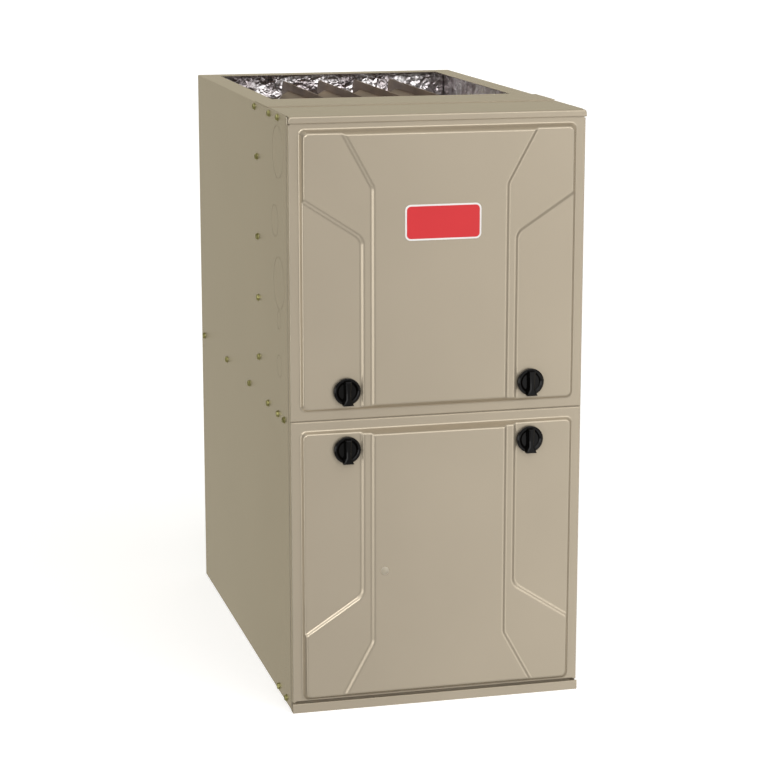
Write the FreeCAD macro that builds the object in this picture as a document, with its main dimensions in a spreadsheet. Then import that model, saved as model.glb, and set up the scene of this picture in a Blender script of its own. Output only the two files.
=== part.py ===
import FreeCAD, Part
import Sketcher
import math
import os
import re

# Upflow condensing gas furnace in a painted sheet-steel cabinet.
# Width runs along X, the front faces -Y, Z is up; the origin is the middle of the base.
Vec = FreeCAD.Vector
doc = FreeCAD.newDocument("furnace")
sheet_table = doc.addObject("Spreadsheet::Sheet", "dims")

sizes = {
    # cabinet
    "cabinet_height": 889, "cabinet_width": 444.5, "casing_depth": 725.3, "sheet": 1, "bend_radius": 2,
    "front_flange": 22, "top_flange": 33, "bottom_flange": 25, "slack": 0.3, "top_lap": 1.2,
    "filler_depth": 140, "filler_lap": 6, "lip_height": 11.5, "lip_stand": 14, "hem": 2, "side_tab": 15,
    "rail_height": 14, "rail_floor": 60, "rail_upturn": 20, "lip_corner": 4, "cross_rail_end": 228,
    "opening_setback": 257, "opening_turn": 13, "closure_rib": 8, "rib_near_share": 0.3,
    "rib_far_share": 0.7,
    # knockouts in both sides, setback from the casing front and height above the floor
    "knock_score": 0.45, "knock_width": 0.9, "vent_knock": 78, "pipe_knock": 48, "wire_knock": 28,
    "cable_knock": 34, "vent_knock_back": 62, "pipe_knock_back": 86, "air_knock_back": 60,
    "vent_knock_up": 830, "pipe_knock_up": 727, "air_knock_up": 638, "wire_knock_up": 583,
    "cable_knock_up": 514,
    # decks
    "shelf_rise": 1.5, "deck": 1.2, "shelf_back": 25, "shelf_tab": 16, "panel_back": 222,
    "latch_half": 69, "latch_return": 15, "slot_wide": 16, "slot_tall": 37,
    # doors and their pressing
    "door_stand": 11, "door_side_gap": 3, "seam_gap": 1.6, "hook_depth": 8, "hook_relief": 2,
    "press_side": 12.25, "press_seam": 15, "press_end": 20, "side_raise": 6, "strip_raise": 9.5,
    "field_raise": 13, "border_run_share": 0.577, "step_run_share": 1.33, "strip_inset": 108.25,
    "strip_knee": 268, "strip_reach": 329, "field_inset": 123.25, "field_knee": 341, "end_inset": 77.25,
    "press_corner": 8, "knee_corner": 18, "door_edge": 1.5,
    # knobs
    "knob_inset": 82.75, "knob_off": 43.6, "knob_reach": 20, "knob_skirt": 7, "knob_rim": 3.5,
    "knob_dish": 2.5, "grip_rise": 15, "grip_head": 9, "grip_waist": 7, "grip_tab": 16,
    "grip_tab_drop": 19.5, "grip_edge": 1.6, "stem": 6, "wing_wide": 10, "wing_long": 31, "wing_thick": 3,
    "wing_clear": 2.5, "bush_wall": 2.1, "bush_flange": 12, "bush_flange_thick": 2, "bush_depth": 4.2,
    "glass_bore": 4.8, "glass_brim": 6.2, "glass_dome": 1.6, "glass_inset": 15, "glass_up": 214.5,
    # screws
    "head_flats": 8, "head_rise": 3.4, "head_washer": 11, "head_washer_thick": 1,
    # blankets
    "blanket": 12,
    # heat exchanger
    "cell_pitch": 61, "cell_shift": -8, "cell_tube": 18, "cell_flat": 1, "pass_pitch": 60,
    "cell_drop": 32.8, "bend_room": 71, "near_room": 70, "plate_gap": 8, "cell_rim": 12,
    "cell_plate_round": 14, "inlet_bore": 17, "coil_side": 71, "coil_stand": 30.5, "coil_clear": 39,
    "coil_plate": 2, "coil_inset": 4, "box_room": 109.3, "box_depth": 74, "box_lap": 8, "box_cover": 14,
    "box_round": 12,
    # collector, trap, inducer
    "coll_edge": 2, "coll_lap": 13, "coll_depth": 54, "coll_round": 9, "coll_rib": 3, "trap_wide": 62,
    "trap_deep": 66, "trap_tall": 96, "trap_back": 96, "trap_inset": 15, "trap_round": 6, "ind_side": 28,
    "ind_clear": 30.5, "ind_radius": 78, "ind_depth": 56, "ind_wall": 2, "ind_flange": 10,
    "ind_wheel": 58, "ind_wheel_deep": 34, "ind_hub": 9, "ind_blades": 18, "ind_outlet": 24.5,
    "spout_gap": 54, "ind_spout_share": 0.86, "stack_wide_share": 0.9, "stack_tall_share": 0.75,
    "nose_share": 0.55, "ind_motor": 46, "ind_motor_deep": 58, "ind_motor_cap": 18, "ind_shaft": 4,
    # burners and gas train
    "bbox_half": 134, "bbox_rise": 29, "bbox_deep": 110, "burner": 15, "burner_mouth": 20,
    "burner_venturi": 11, "manifold": 10.5, "manifold_gap": 32, "spud": 5.5, "valve_inset": 71,
    "valve_wide": 74, "valve_deep": 58, "valve_tall": 62, "valve_drop": 160.8, "valve_port": 17,
    "valve_port_long": 22, "valve_edge": 3, "valve_switch_wide": 12, "valve_switch_tall": 22,
    "valve_switch_rise": 7, "manifold_bend": 22, "valve_cap": 13, "valve_cap_rise": 9, "ign_tab": 26,
    "ign_body": 8, "ign_body_long": 26, "roll_side": 84, "roll_plate": 30, "roll_disc": 12,
    "roll_disc_deep": 11, "roll_button": 3.2, "roll_button_rise": 4, "roll_drop": 34, "limit_inset": 43,
    "limit_drop": 114, "limit_disc": 12, "limit_plate": 34, "limit_deep": 14, "press_switch": 30,
    "press_switch_deep": 26, "press_inset": 34, "press_bracket": 44, "press_port": 3,
    "press_hub_share": 0.45, "press_long_share": 1.6,
    # blower
    "blow_room": 295.3, "blow_up": 214, "blow_half": 120, "blow_wall": 1.2, "blow_cut": 143,
    "blow_max": 206, "blow_wheel": 127, "blow_wheel_half": 99, "blow_ring": 14, "blow_ring_wide": 5,
    "blow_blade_thick": 1, "blow_hub": 19, "blow_disc": 3, "blow_inlet": 108, "blow_venturi": 10,
    "blow_flange": 14, "blow_blades": 30, "blade_lean": 24, "cutoff_share": 0.342, "motor": 68,
    "motor_clear": 35, "motor_in": 32, "motor_cap": 14, "shaft": 6.35, "band_thick": 2, "band_wide": 34,
    "arm_wide": 20, "arm_thick": 3, "arm_reach": 136, "arm_foot": 14, "motor_end_share": 0.86,
    # controls
    "ctrl_back": 62, "ctrl_inset": 17, "ctrl_low": 148, "ctrl_turn": 22, "board_inset": 8,
    "board_gap": 21, "board_wide": 168, "board_low": 160, "board_tall": 150, "board_thick": 1.6,
    "board_stand": 6, "relay_wide": 20, "relay_deep": 16, "relay_tall": 28, "strip_wide": 84,
    "strip_tall": 12, "strip_deep": 14, "led": 2.5, "led_long": 6, "trans_wide": 56, "trans_tall": 62,
    "trans_deep": 48, "trans_low": 176, "trans_foot": 74, "trans_foot_tall": 12, "trans_lam": 20,
    "trans_inset": 9.6, "dsw_side": 60, "dsw_wide": 22, "dsw_deep": 20, "dsw_tall": 17, "dsw_drop": 8,
    "plunger": 2.6, "plunger_hole": 3.6, "jbox_wide": 54, "jbox_deep": 66, "jbox_tall": 86,
    "jbox_gap": 44, "jbox_back": 27, "jbox_lid": 1.2,
    # sides of round stock: small pins, and larger drums
    "pin_sides": 12, "drum_sides": 24,
}
for row, (word, number) in enumerate(sizes.items(), start=1):
    sheet_table.set("A%d" % row, word)
    sheet_table.set("B%d" % row, str(number))
    sheet_table.setAlias("B%d" % row, word)
doc.recompute()

terms = {word: "dims." + word for word in sizes}
pieces = {}


def linked(text):
    return re.sub(r"[a-z][a-z_]*", lambda found: terms.get(found.group(), found.group()), text)


# Places worked out from the driving sizes: each group keeps to the wall, deck or piece that carries it.
places = {
    "front": "-casing_depth / 2",
    "rear": "casing_depth / 2",
    "halfw": "cabinet_width / 2",
    "mid": "cabinet_height / 2",
    "deck_top": "cabinet_height - top_lap",
    "inner": "halfw - sheet - slack",
    "strip_half": "halfw - strip_inset",
    "field_half": "halfw - field_inset",
    "field_end_half": "halfw - end_inset",
    "knob_side": "halfw - knob_inset",
    "glass_side": "field_half - glass_inset",
    "shelf_up": "mid + shelf_rise",
    "shelf_top": "shelf_up + deck + slack",
    "panel": "front + panel_back",
    "cell_up": "deck_top - cell_drop",
    "box_back": "casing_depth - box_room",
    "cell_bend_back": "box_back - bend_room",
    "cell_near_bend": "panel_back + near_room",
    "cell_plate_end": "box_back - plate_gap",
    "coil_half": "inner - coil_side",
    "coil_low": "shelf_top + coil_stand",
    "coil_high": "cell_up - pass_pitch * 2 - cell_tube - cell_rim - coil_clear",
    "box_half": "coil_half + coll_edge",
    "box_low": "coil_low - box_lap",
    "box_high": "cell_up - pass_pitch * 2 + cell_tube + box_cover",
    "coll_half": "coil_half + coll_edge",
    "coll_low": "coil_low - coll_lap",
    "coll_high": "coil_high + coll_lap",
    "trap_side": "inner - trap_inset",
    "bbox_low": "cell_up - bbox_rise",
    "bbox_high": "cell_up + bbox_rise",
    "bbox_front": "panel_back - bbox_deep",
    "manifold_back": "bbox_front - manifold_gap",
    "ind_up": "shelf_top + ind_radius + ind_flange + ind_clear",
    "ind_outlet_up": "bbox_low - roll_drop - spout_gap",
    "valve_side": "inner - valve_inset",
    "valve_up": "deck_top - valve_drop",
    "limit_side": "inner - limit_inset",
    "limit_up": "cell_up - limit_drop",
    "press_switch_side": "inner - press_inset",
    "press_switch_up": "(shelf_top + limit_up - limit_plate) / 2",
    "blow_back": "casing_depth - blow_room",
    "motor_out": "inner - motor_clear",
    "ctrl_left": "inner - ctrl_inset",
    "board_left": "ctrl_left - board_inset",
    "trans_side": "-board_left + board_wide + board_gap + trans_foot / 2",
    "ctrl_right": "trans_side + trans_foot / 2 - sheet",
    "jbox_up": "valve_up - valve_tall / 2 - jbox_gap - jbox_tall",
}
for word, text in places.items():
    terms[word] = "(%s)" % linked(text)


def size(word):
    return float(sheet_table.evalExpression(linked(word)))


def box(name, across, along, upward):
    item = doc.addObject("Part::Box", name)
    for side, axis, ends in (("Length", "x", across), ("Width", "y", along), ("Height", "z", upward)):
        item.setExpression(side, linked("(%s) - (%s)" % (ends[1], ends[0])))
        item.setExpression("Placement.Base." + axis, linked(ends[0]))
    return item


def rod(name, axis, place, ends, radius, sides="pin_sides"):
    item = doc.addObject("Part::Prism", name)
    turn = {"x": (Vec(0, 1, 0), 90), "y": (Vec(1, 0, 0), -90), "z": (Vec(0, 0, 1), 0)}[axis]
    item.Placement = FreeCAD.Placement(Vec(0, 0, 0), FreeCAD.Rotation(*turn))
    others = [word for word in "xyz" if word != axis]
    item.setExpression("Polygon", linked(sides))
    item.setExpression("Circumradius", linked(radius))
    item.setExpression("Height", linked("(%s) - (%s)" % (ends[1], ends[0])))
    item.setExpression("Placement.Base." + axis, linked(ends[0]))
    item.setExpression("Placement.Base." + others[0], linked(place[0]))
    item.setExpression("Placement.Base." + others[1], linked(place[1]))
    return item


def outline(name, plane, corners, start):
    sketch = doc.addObject("Sketcher::SketchObject", name + "_outline")
    count = len(corners)
    ring = [2 * math.pi * step / count for step in range(count)]
    spots = [Vec(math.cos(angle), math.sin(angle), 0) for angle in ring]
    for step in range(count):
        sketch.addGeometry(Part.LineSegment(spots[step], spots[(step + 1) % count]), False)
    for step in range(count):
        sketch.addConstraint(Sketcher.Constraint("Coincident", step, 2, (step + 1) % count, 1))
    for step, corner in enumerate(corners):
        for kind, text, now in zip(("DistanceX", "DistanceY"), corner, (spots[step].x, spots[step].y)):
            index = sketch.addConstraint(Sketcher.Constraint(kind, -1, 1, step, 1, now))
            sketch.setExpression("Constraints[%d]" % index, linked(text))
    turn = {"YZ": (Vec(1, 1, 1), 120), "XZ": (Vec(1, 0, 0), 90), "XY": (Vec(0, 0, 1), 0)}[plane]
    sketch.Placement = FreeCAD.Placement(Vec(0, 0, 0), FreeCAD.Rotation(*turn))
    axis = {"YZ": "x", "XZ": "y", "XY": "z"}[plane]
    sketch.setExpression("Placement.Base." + axis, linked(start))
    return sketch


def prism(name, plane, corners, ends):
    item = doc.addObject("Part::Extrusion", name)
    item.Base = outline(name, plane, corners, ends[0])
    item.DirMode = "Custom"
    item.Dir = {"YZ": Vec(1, 0, 0), "XZ": Vec(0, 1, 0), "XY": Vec(0, 0, 1)}[plane]
    item.Solid = True
    item.setExpression("LengthFwd", linked("(%s) - (%s)" % (ends[1], ends[0])))
    return item


def fuse(name, *parts):
    item = doc.addObject("Part::MultiFuse", name)
    item.Shapes = list(parts)
    item.Refine = True
    return item


def cut(name, base, *tools):
    item = doc.addObject("Part::Cut", name)
    item.Base = base
    item.Tool = tools[0] if len(tools) == 1 else fuse(name + "_tools", *tools)
    return item


def edged(name, base, word, chosen, kind):
    doc.recompute()
    item = doc.addObject(kind, name)
    item.Base = base
    picks = [step + 1 for step, edge in enumerate(base.Shape.Edges) if chosen(edge)]
    item.Edges = [(step, size(word), size(word)) for step in picks]
    return item


def rounded(name, base, word, chosen):
    return edged(name, base, word, chosen, "Part::Fillet")


def bevelled(name, base, word, chosen):
    return edged(name, base, word, chosen, "Part::Chamfer")


def solid(name, shape):
    item = doc.addObject("Part::Feature", name)
    item.Shape = shape
    return item


def keep(name, item):
    item.Label = name
    pieces[name] = item
    return item


def along(edge, axis):
    run = edge.Vertexes[-1].Point - edge.Vertexes[0].Point
    return edge.Length > 0 and abs(getattr(run, axis)) > edge.Length * math.cos(math.radians(1))


def round_spots(axis, centre, radius, at, sides):
    spots = []
    for step in range(int(sides)):
        angle = 2 * math.pi * step / sides
        spot = [radius * math.cos(angle), radius * math.sin(angle)]
        spot.insert("xyz".index(axis), at)
        spots.append(centre + Vec(*spot))
    return spots


def drum(axis, centre, radius, low, high, sides="drum_sides"):
    spots = round_spots(axis, centre, radius, low, size(sides))
    run = [0, 0]
    run.insert("xyz".index(axis), high - low)
    return Part.Face(Part.makePolygon(spots + spots[:1])).extrude(Vec(*run))


def stitched(rings):
    count = len(rings[0])
    outlines = [rings[0], rings[-1]]
    for low, high in zip(rings, rings[1:]):
        for step in range(count):
            after = (step + 1) % count
            outlines.append([low[step], low[after], high[after], high[step]])
    faces = [Part.Face(Part.makePolygon(spots + spots[:1])) for spots in outlines]
    shape = Part.Solid(Part.Shell(faces))
    if shape.Volume < 0:
        shape.reverse()
    return shape


def turned(centre, stations, sides="pin_sides"):
    return stitched([round_spots("y", centre, radius, at, size(sides)) for radius, at in stations])


def slab(x_low, x_high, y_low, y_high, z_low, z_high):
    return Part.makeBox(x_high - x_low, y_high - y_low, z_high - z_low, Vec(x_low, y_low, z_low))


def ring_of(profile, place, way):
    face = Part.Face(Part.makePolygon([place + spot for spot in profile + profile[:1]]))
    return face.revolve(place, way, 360)


front = size("front")
rear = size("rear")
halfw = size("halfw")
mid = size("mid")
slack = size("slack")
sheet = size("sheet")

# Casing: one sheet folded into left side, back and right side, flanged inward at every edge.
shell = box("shell", ("-halfw", "halfw"), ("front", "rear"), ("0", "deck_top"))
shell = rounded("shell_bends", shell, "bend_radius", lambda edge: True)
hollow = box("hollow", ("-halfw + sheet", "halfw - sheet"), ("front + sheet", "rear - sheet"),
             ("sheet", "deck_top - sheet"))
mouth = box("mouth", ("-halfw + front_flange", "halfw - front_flange"), ("front - hem", "front + hem"),
            ("0", "cabinet_height"))
brow = box("brow", ("-halfw + sheet", "halfw - sheet"), ("front - hem", "front + cross_rail_end + slack"),
           ("deck_top - bend_radius", "cabinet_height"))
supply = box("supply", ("-halfw + top_flange", "halfw - top_flange"), ("front - hem", "rear - top_flange"),
             ("deck_top - hem * 2", "cabinet_height"))
sole = box("sole", ("-halfw + bottom_flange", "halfw - bottom_flange"),
           ("front - hem", "rear - bottom_flange"),
           ("-hem", "hem"))
scores = []
for word, back, up in (("vent_knock", "vent_knock_back", "vent_knock_up"),
                       ("pipe_knock", "pipe_knock_back", "pipe_knock_up"),
                       ("vent_knock", "air_knock_back", "air_knock_up"),
                       ("wire_knock", "vent_knock_back", "wire_knock_up"),
                       ("cable_knock", "vent_knock_back", "cable_knock_up")):
    for mark, ends in (("left", ("-halfw - sheet", "-halfw + knock_score")),
                       ("right", ("halfw - knock_score", "halfw + sheet"))):
        place = ("front + " + back, up)
        rim = rod("rim_" + mark, "x", place, ends, word + " / 2", "drum_sides")
        slug = rod("slug_" + mark, "x", place, ends, word + " / 2 - knock_width", "drum_sides")
        scores.append(cut("score_" + mark, rim, slug))
keep("casing", cut("casing", shell, hollow, mouth, brow, supply, sole, *scores))

# Top filler panel: flat sheet behind the front lip, with the hemmed lip the upper door hooks behind.
lip = prism("lip", "YZ", (("front - lip_stand", "deck_top"), ("front - slack", "deck_top"),
                          ("front - slack", "deck_top - sheet"), ("front - lip_stand + sheet",
                                                                  "deck_top - sheet"),
                          ("front - lip_stand + hem", "deck_top - sheet - hem"),
                          ("front - lip_stand + hem", "cabinet_height - lip_height"),
                          ("front - lip_stand", "cabinet_height - lip_height")), ("-halfw", "halfw"))
lip = rounded("lip_ends", lip, "lip_corner", lambda edge: along(edge, "y")
              and edge.CenterOfMass.z > size("cabinet_height") - size("top_lap") - sheet / 2)
flat = prism("flat", "YZ",
             (("front - lip_stand + hem", "deck_top - sheet"), ("front - lip_stand + hem", "deck_top"),
                            ("front + filler_depth", "deck_top"), ("front + filler_depth",
                                                                   "deck_top - sheet")),
             ("-halfw + lip_corner + sheet", "halfw - lip_corner - sheet"))
wide = box("filler_wide", ("-inner", "inner"), ("front + sheet + slack", "front + filler_depth - slack"),
           ("deck_top - sheet", "deck_top"))
tabs = [box("filler_tab_left", ("-inner", "-inner + sheet"),
            ("front + side_tab", "front + filler_depth - side_tab"),
            ("deck_top - side_tab", "deck_top")),
        box("filler_tab_right", ("inner - sheet", "inner"),
            ("front + side_tab", "front + filler_depth - side_tab"),
            ("deck_top - side_tab", "deck_top"))]
keep("top_filler_panel", fuse("top_filler_panel", lip, flat, wide, *tabs))

# Cross rail: lies over the filler and the side flanges, then drops into the front edge of the supply opening.
strap = box("strap", ("-halfw", "halfw"), ("front + filler_depth - filler_lap", "front + cross_rail_end"),
            ("deck_top", "cabinet_height"))
drop = prism("drop", "YZ",
             (("front + filler_depth + filler_lap", "deck_top"), ("front + opening_setback", "deck_top"),
              ("front + opening_setback", "deck_top - opening_turn"),
              ("front + opening_setback - sheet", "deck_top - opening_turn"),
              ("front + opening_setback - sheet", "deck_top - sheet"),
              ("front + filler_depth + filler_lap", "deck_top - sheet")),
             ("-halfw + top_flange + slack", "halfw - top_flange - slack"))
keep("cross_rail", fuse("cross_rail", strap, drop))

# Base rail: the lip in front of the lower door's foot and the floor strip behind it.
kick = prism("kick", "YZ", (("front - lip_stand", "0"), ("front - slack", "0"), ("front - slack", "sheet"),
                            ("front - lip_stand + hem", "sheet"), ("front - lip_stand + hem", "rail_height"),
                            ("front - lip_stand", "rail_height")), ("-halfw", "halfw"))
floor = prism("rail_floor", "YZ", (("front - lip_stand + hem", "sheet"), ("front + rail_floor", "sheet"),
                                   ("front + rail_floor", "rail_upturn"),
                                   ("front + rail_floor - sheet", "rail_upturn"),
                                   ("front + rail_floor - sheet", "sheet * 2"),
                                   ("front - lip_stand + hem", "sheet * 2")),
              ("-halfw + front_flange + slack", "halfw - front_flange - slack"))
keep("base_rail", fuse("base_rail", kick, floor))

# Bottom closure panel: shallow ribbed pan, lapped on the flanges, that shuts the return opening.
plate = box("closure", ("-inner + hem", "inner - hem"), ("front + rail_floor + slack", "rear - sheet - hem"),
            ("sheet", "sheet * 2"))
pan = box("closure_pan", ("-halfw + bottom_flange + slack", "halfw - bottom_flange - slack"),
          ("front + rail_floor + slack", "rear - bottom_flange - slack"), ("0", "sheet * 2"))
ribs = []
for share in ("rib_near_share", "rib_far_share"):
    middle = "front + casing_depth * " + share
    ribs.append(prism("closure_rib", "YZ", ((middle + " - closure_rib * 2", "sheet * 2"),
                                            (middle + " + closure_rib * 2", "sheet * 2"),
                                            (middle + " + closure_rib", "closure_rib"),
                                            (middle + " - closure_rib", "closure_rib")),
                      ("-halfw + bottom_flange * 2", "halfw - bottom_flange * 2")))
keep("bottom_closure_panel", fuse("bottom_closure_panel", plate, pan, *ribs))

# Blower shelf: deck between the two compartments with the blower outlet cut through it.
deck = box("shelf_deck", ("-inner", "inner"), ("front + shelf_back", "rear - sheet - slack"),
           ("shelf_up", "shelf_up + deck"))
tabs = [box("shelf_tab_left", ("-inner", "-inner + deck"), ("front + shelf_back", "rear - side_tab"),
            ("shelf_up - shelf_tab", "shelf_up + deck")),
        box("shelf_tab_right", ("inner - deck", "inner"), ("front + shelf_back", "rear - side_tab"),
            ("shelf_up - shelf_tab", "shelf_up + deck"))]
outlet = box("shelf_outlet", ("-blow_half + blow_wall", "blow_half - blow_wall"),
             ("front + blow_back - blow_cut * cutoff_share", "front + blow_back + blow_max - blow_wall"),
             ("shelf_up - deck", "shelf_up + deck * 2"))
keep("blower_shelf", cut("blower_shelf", fuse("shelf_body", deck, *tabs), outlet))

# Latch rail: channel across the front behind the door seam; the knob wings turn behind its slots.
web = box("latch_web", ("-inner", "inner"), ("front + sheet", "front + sheet * 2"),
          ("mid - latch_half", "mid + latch_half"))
turns = [box("latch_low", ("-inner", "inner"), ("front + sheet", "front + latch_return"),
             ("mid - latch_half", "mid - latch_half + sheet")),
         box("latch_high", ("-inner", "inner"), ("front + sheet", "front + latch_return"),
             ("mid + latch_half - sheet", "mid + latch_half"))]
slots = [rod("plunger_hole", "y", ("dsw_side", "mid - dsw_drop"), ("front", "front + sheet * 3"),
             "plunger_hole")]
for side in ("-", ""):
    for step in ("-", "+"):
        up = "mid %s knob_off" % step
        slots.append(box("latch_slot",
                         (side + "knob_side - slot_wide / 2", side + "knob_side + slot_wide / 2"),
                         ("front", "front + sheet * 3"), (up + " - slot_tall / 2", up + " + slot_tall / 2")))
keep("latch_rail", cut("latch_rail", fuse("latch_body", web, *turns), *slots))

# Cell panel: upright panel between burner space and heat exchanger, pierced for the cell inlets.
panel = box("panel_web", ("-inner", "inner"), ("panel", "panel + deck"),
            ("shelf_top", "deck_top - sheet - slack"))
tabs = [box("panel_tab_left", ("-inner", "-inner + deck"), ("panel - side_tab", "panel + deck"),
            ("shelf_top", "deck_top - sheet - slack - filler_lap")),
        box("panel_tab_right", ("inner - deck", "inner"), ("panel - side_tab", "panel + deck"),
            ("shelf_top", "deck_top - sheet - slack - filler_lap"))]
cell_shares = (-1.5, -0.5, 0.5, 1.5)
holes = [rod("inlet_hole", "y", ("cell_shift + cell_pitch * %s" % share, "cell_up"),
             ("panel - hem", "panel + hem * 2"),
             "inlet_bore") for share in cell_shares]
holes.append(box("coil_hole", ("-coil_half + side_tab", "coil_half - side_tab"),
                 ("panel - hem", "panel + hem * 2"),
                 ("coil_low + side_tab", "coil_high - side_tab")))
keep("cell_panel", cut("cell_panel", fuse("panel_body", panel, *tabs), *holes))

# Foil-faced blankets on the walls around the heat exchanger.
for name, side in (("left", ("-halfw + sheet", "-halfw + sheet + blanket")),
                   ("right", ("halfw - sheet - blanket", "halfw - sheet"))):
    keep("blanket_" + name, box("blanket_" + name, side, ("panel + deck + slack", "rear - sheet"),
                                ("shelf_top", "deck_top - sheet - slack")))
keep("blanket_back",
     box("blanket_back", ("-halfw + sheet + blanket + slack", "halfw - sheet - blanket - slack"),
                         ("rear - sheet - blanket", "rear - sheet"), ("shelf_top",
                                                                      "deck_top - sheet - slack")))


# Doors: pressed pans. Three stacked levels rise from the flange: side fields, a forked strip and the
# centre field. Each level is a ruled loft between two offset outlines, so every wall keeps its own slope.
def shifted(corners, insets):
    count = len(corners)
    lines = []
    for step in range(count):
        tail = corners[step]
        tip = corners[(step + 1) % count]
        run = (tip[0] - tail[0], tip[1] - tail[1])
        span = math.hypot(*run)
        normal = (-run[1] / span, run[0] / span)
        lines.append((tail[0] + normal[0] * insets[step], tail[1] + normal[1] * insets[step], run[0], run[1]))
    spots = []
    for step in range(count):
        ax, ay, adx, ady = lines[step - 1]
        bx, by, bdx, bdy = lines[step]
        share = ((bx - ax) * bdy - (by - ay) * bdx) / (adx * bdy - ady * bdx)
        spots.append((ax + adx * share, ay + ady * share))
    return spots


def pressed_wire(corners, radii, place):
    count = len(corners)
    edges = []
    joints = []
    for step in range(count):
        here = place(*corners[step])
        if radii[step] == 0:
            joints.append((here, None, here))
            continue
        before = place(*corners[step - 1])
        after = place(*corners[(step + 1) % count])
        inward = (before - here).normalize()
        outward = (after - here).normalize()
        half = inward.getAngle(outward) / 2
        reach = radii[step] / math.tan(half)
        bisect = (inward + outward).normalize()
        top = here + bisect * (radii[step] / math.sin(half) - radii[step])
        joints.append((here + inward * reach, top, here + outward * reach))
    for step in range(count):
        start, middle, end = joints[step]
        if middle is not None:
            edges.append(Part.Arc(start, middle, end).toShape())
        edges.append(Part.LineSegment(end, joints[(step + 1) % count][0]).toShape())
    return Part.Wire(edges)


def pressing(sign):
    face = front - size("door_stand")
    edge_x = halfw - size("door_side_gap") - size("press_side")
    near = size("press_seam")
    far = mid - size("press_end")
    border = size("border_run_share")
    step_run = size("step_run_share")
    corner = size("press_corner")
    knee = size("knee_corner")
    heights = [0, size("side_raise"), size("strip_raise"), size("field_raise")]
    strip = size("strip_half")
    field = size("field_half")
    end = size("field_end_half")
    rim = [(-edge_x, near), (edge_x, near), (edge_x, far), (-edge_x, far)]
    fork = [(-strip, near), (strip, near), (strip, size("strip_knee")), (edge_x, size("strip_reach")),
            (edge_x, far), (-edge_x, far), (-edge_x, size("strip_reach")), (-strip, size("strip_knee"))]
    centre = [(-field, near), (field, near), (field, size("field_knee")), (end, far), (-end, far),
              (-field, size("field_knee"))]
    plans = ((rim, (0, 0, 0, 0), (corner, corner, corner, corner)),
             (fork, (0, 1, 1, 0, 0, 0, 1, 1), (0, 0, knee, 0, corner, corner, 0, knee)),
             (centre, (0, 1, 1, 0, 1, 1), (0, 0, knee, 0, 0, knee)))
    total = None
    for step, (plan, inner_edges, radii) in enumerate(plans):
        low = heights[step]
        high = heights[step + 1]
        wires = []
        for level in (low, high):
            insets = [(level - high) * step_run if mark else level * border for mark in inner_edges]
            spots = shifted(plan, insets)
            wires.append(pressed_wire(spots, radii, lambda x, u: Vec(x, face - level, mid + sign * u)))
        tier = Part.makeLoft(wires, True, True)
        total = tier if total is None else total.fuse(tier)
    return total.removeSplitter()


def door(sign, lap):
    face = front - size("door_stand")
    side = halfw - size("door_side_gap")
    seam = size("seam_gap") / 2
    foot = mid - lap - size("hook_relief")
    tip = mid - lap + size("hook_depth")
    relief = size("hook_relief")

    def span(x_half, y_low, y_high, u_low, u_high):
        ends = sorted((mid + sign * u_low, mid + sign * u_high))
        return slab(-x_half, x_half, y_low, y_high, ends[0], ends[1])

    block = span(side, face, front - slack, seam, foot)
    bends = [edge for edge in block.Edges if abs(edge.CenterOfMass.y - face) < slack
             and abs(edge.CenterOfMass.z - (mid + sign * foot)) > slack]
    block = block.makeFillet(size("door_edge"), bends)
    tongue = span(side - relief, face, face + sheet, foot - relief, tip)
    emboss = pressing(sign)
    outside = block.fuse([tongue, emboss]).removeSplitter()
    cavity = span(side - sheet, face + sheet, front, seam + sheet, foot + sheet)
    shadow = emboss.copy()
    shadow.translate(Vec(0, sheet, 0))
    pan = outside.cut(cavity.fuse(shadow))
    bore = size("stem") + size("bush_wall") + slack
    for hand in (-1, 1):
        spot = Vec(hand * size("knob_side"), 0, mid + sign * size("knob_off"))
        pan = pan.cut(drum("y", spot, bore, face - size("field_raise") - relief, front))
    return pan


keep("upper_door", solid("upper_door", door(1, size("lip_height"))))
lower = door(-1, size("rail_height"))
port = Vec(-size("glass_side"), 0, size("glass_up"))
lower = lower.cut(drum("y", port, size("glass_bore"), front - size("door_stand") * 3, front))
keep("lower_door", solid("lower_door", lower))

# Sight glass: clear moulded lens snapped into the lower door's centre field.
lens_face = front - size("door_stand") - size("field_raise")
brim = size("glass_brim")
bore = size("glass_bore") - slack
seat = Vec(-size("glass_side"), lens_face, size("glass_up"))
cap = turned(seat, [(brim, 0), (brim, -slack), (bore, -sheet), (bore / 2, -size("glass_dome"))])
barrel = drum("y", seat, bore, 0, sheet * 3, "pin_sides")
lens = cap.fuse(barrel).removeSplitter()
keep("sight_glass", solid("sight_glass", lens))


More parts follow.
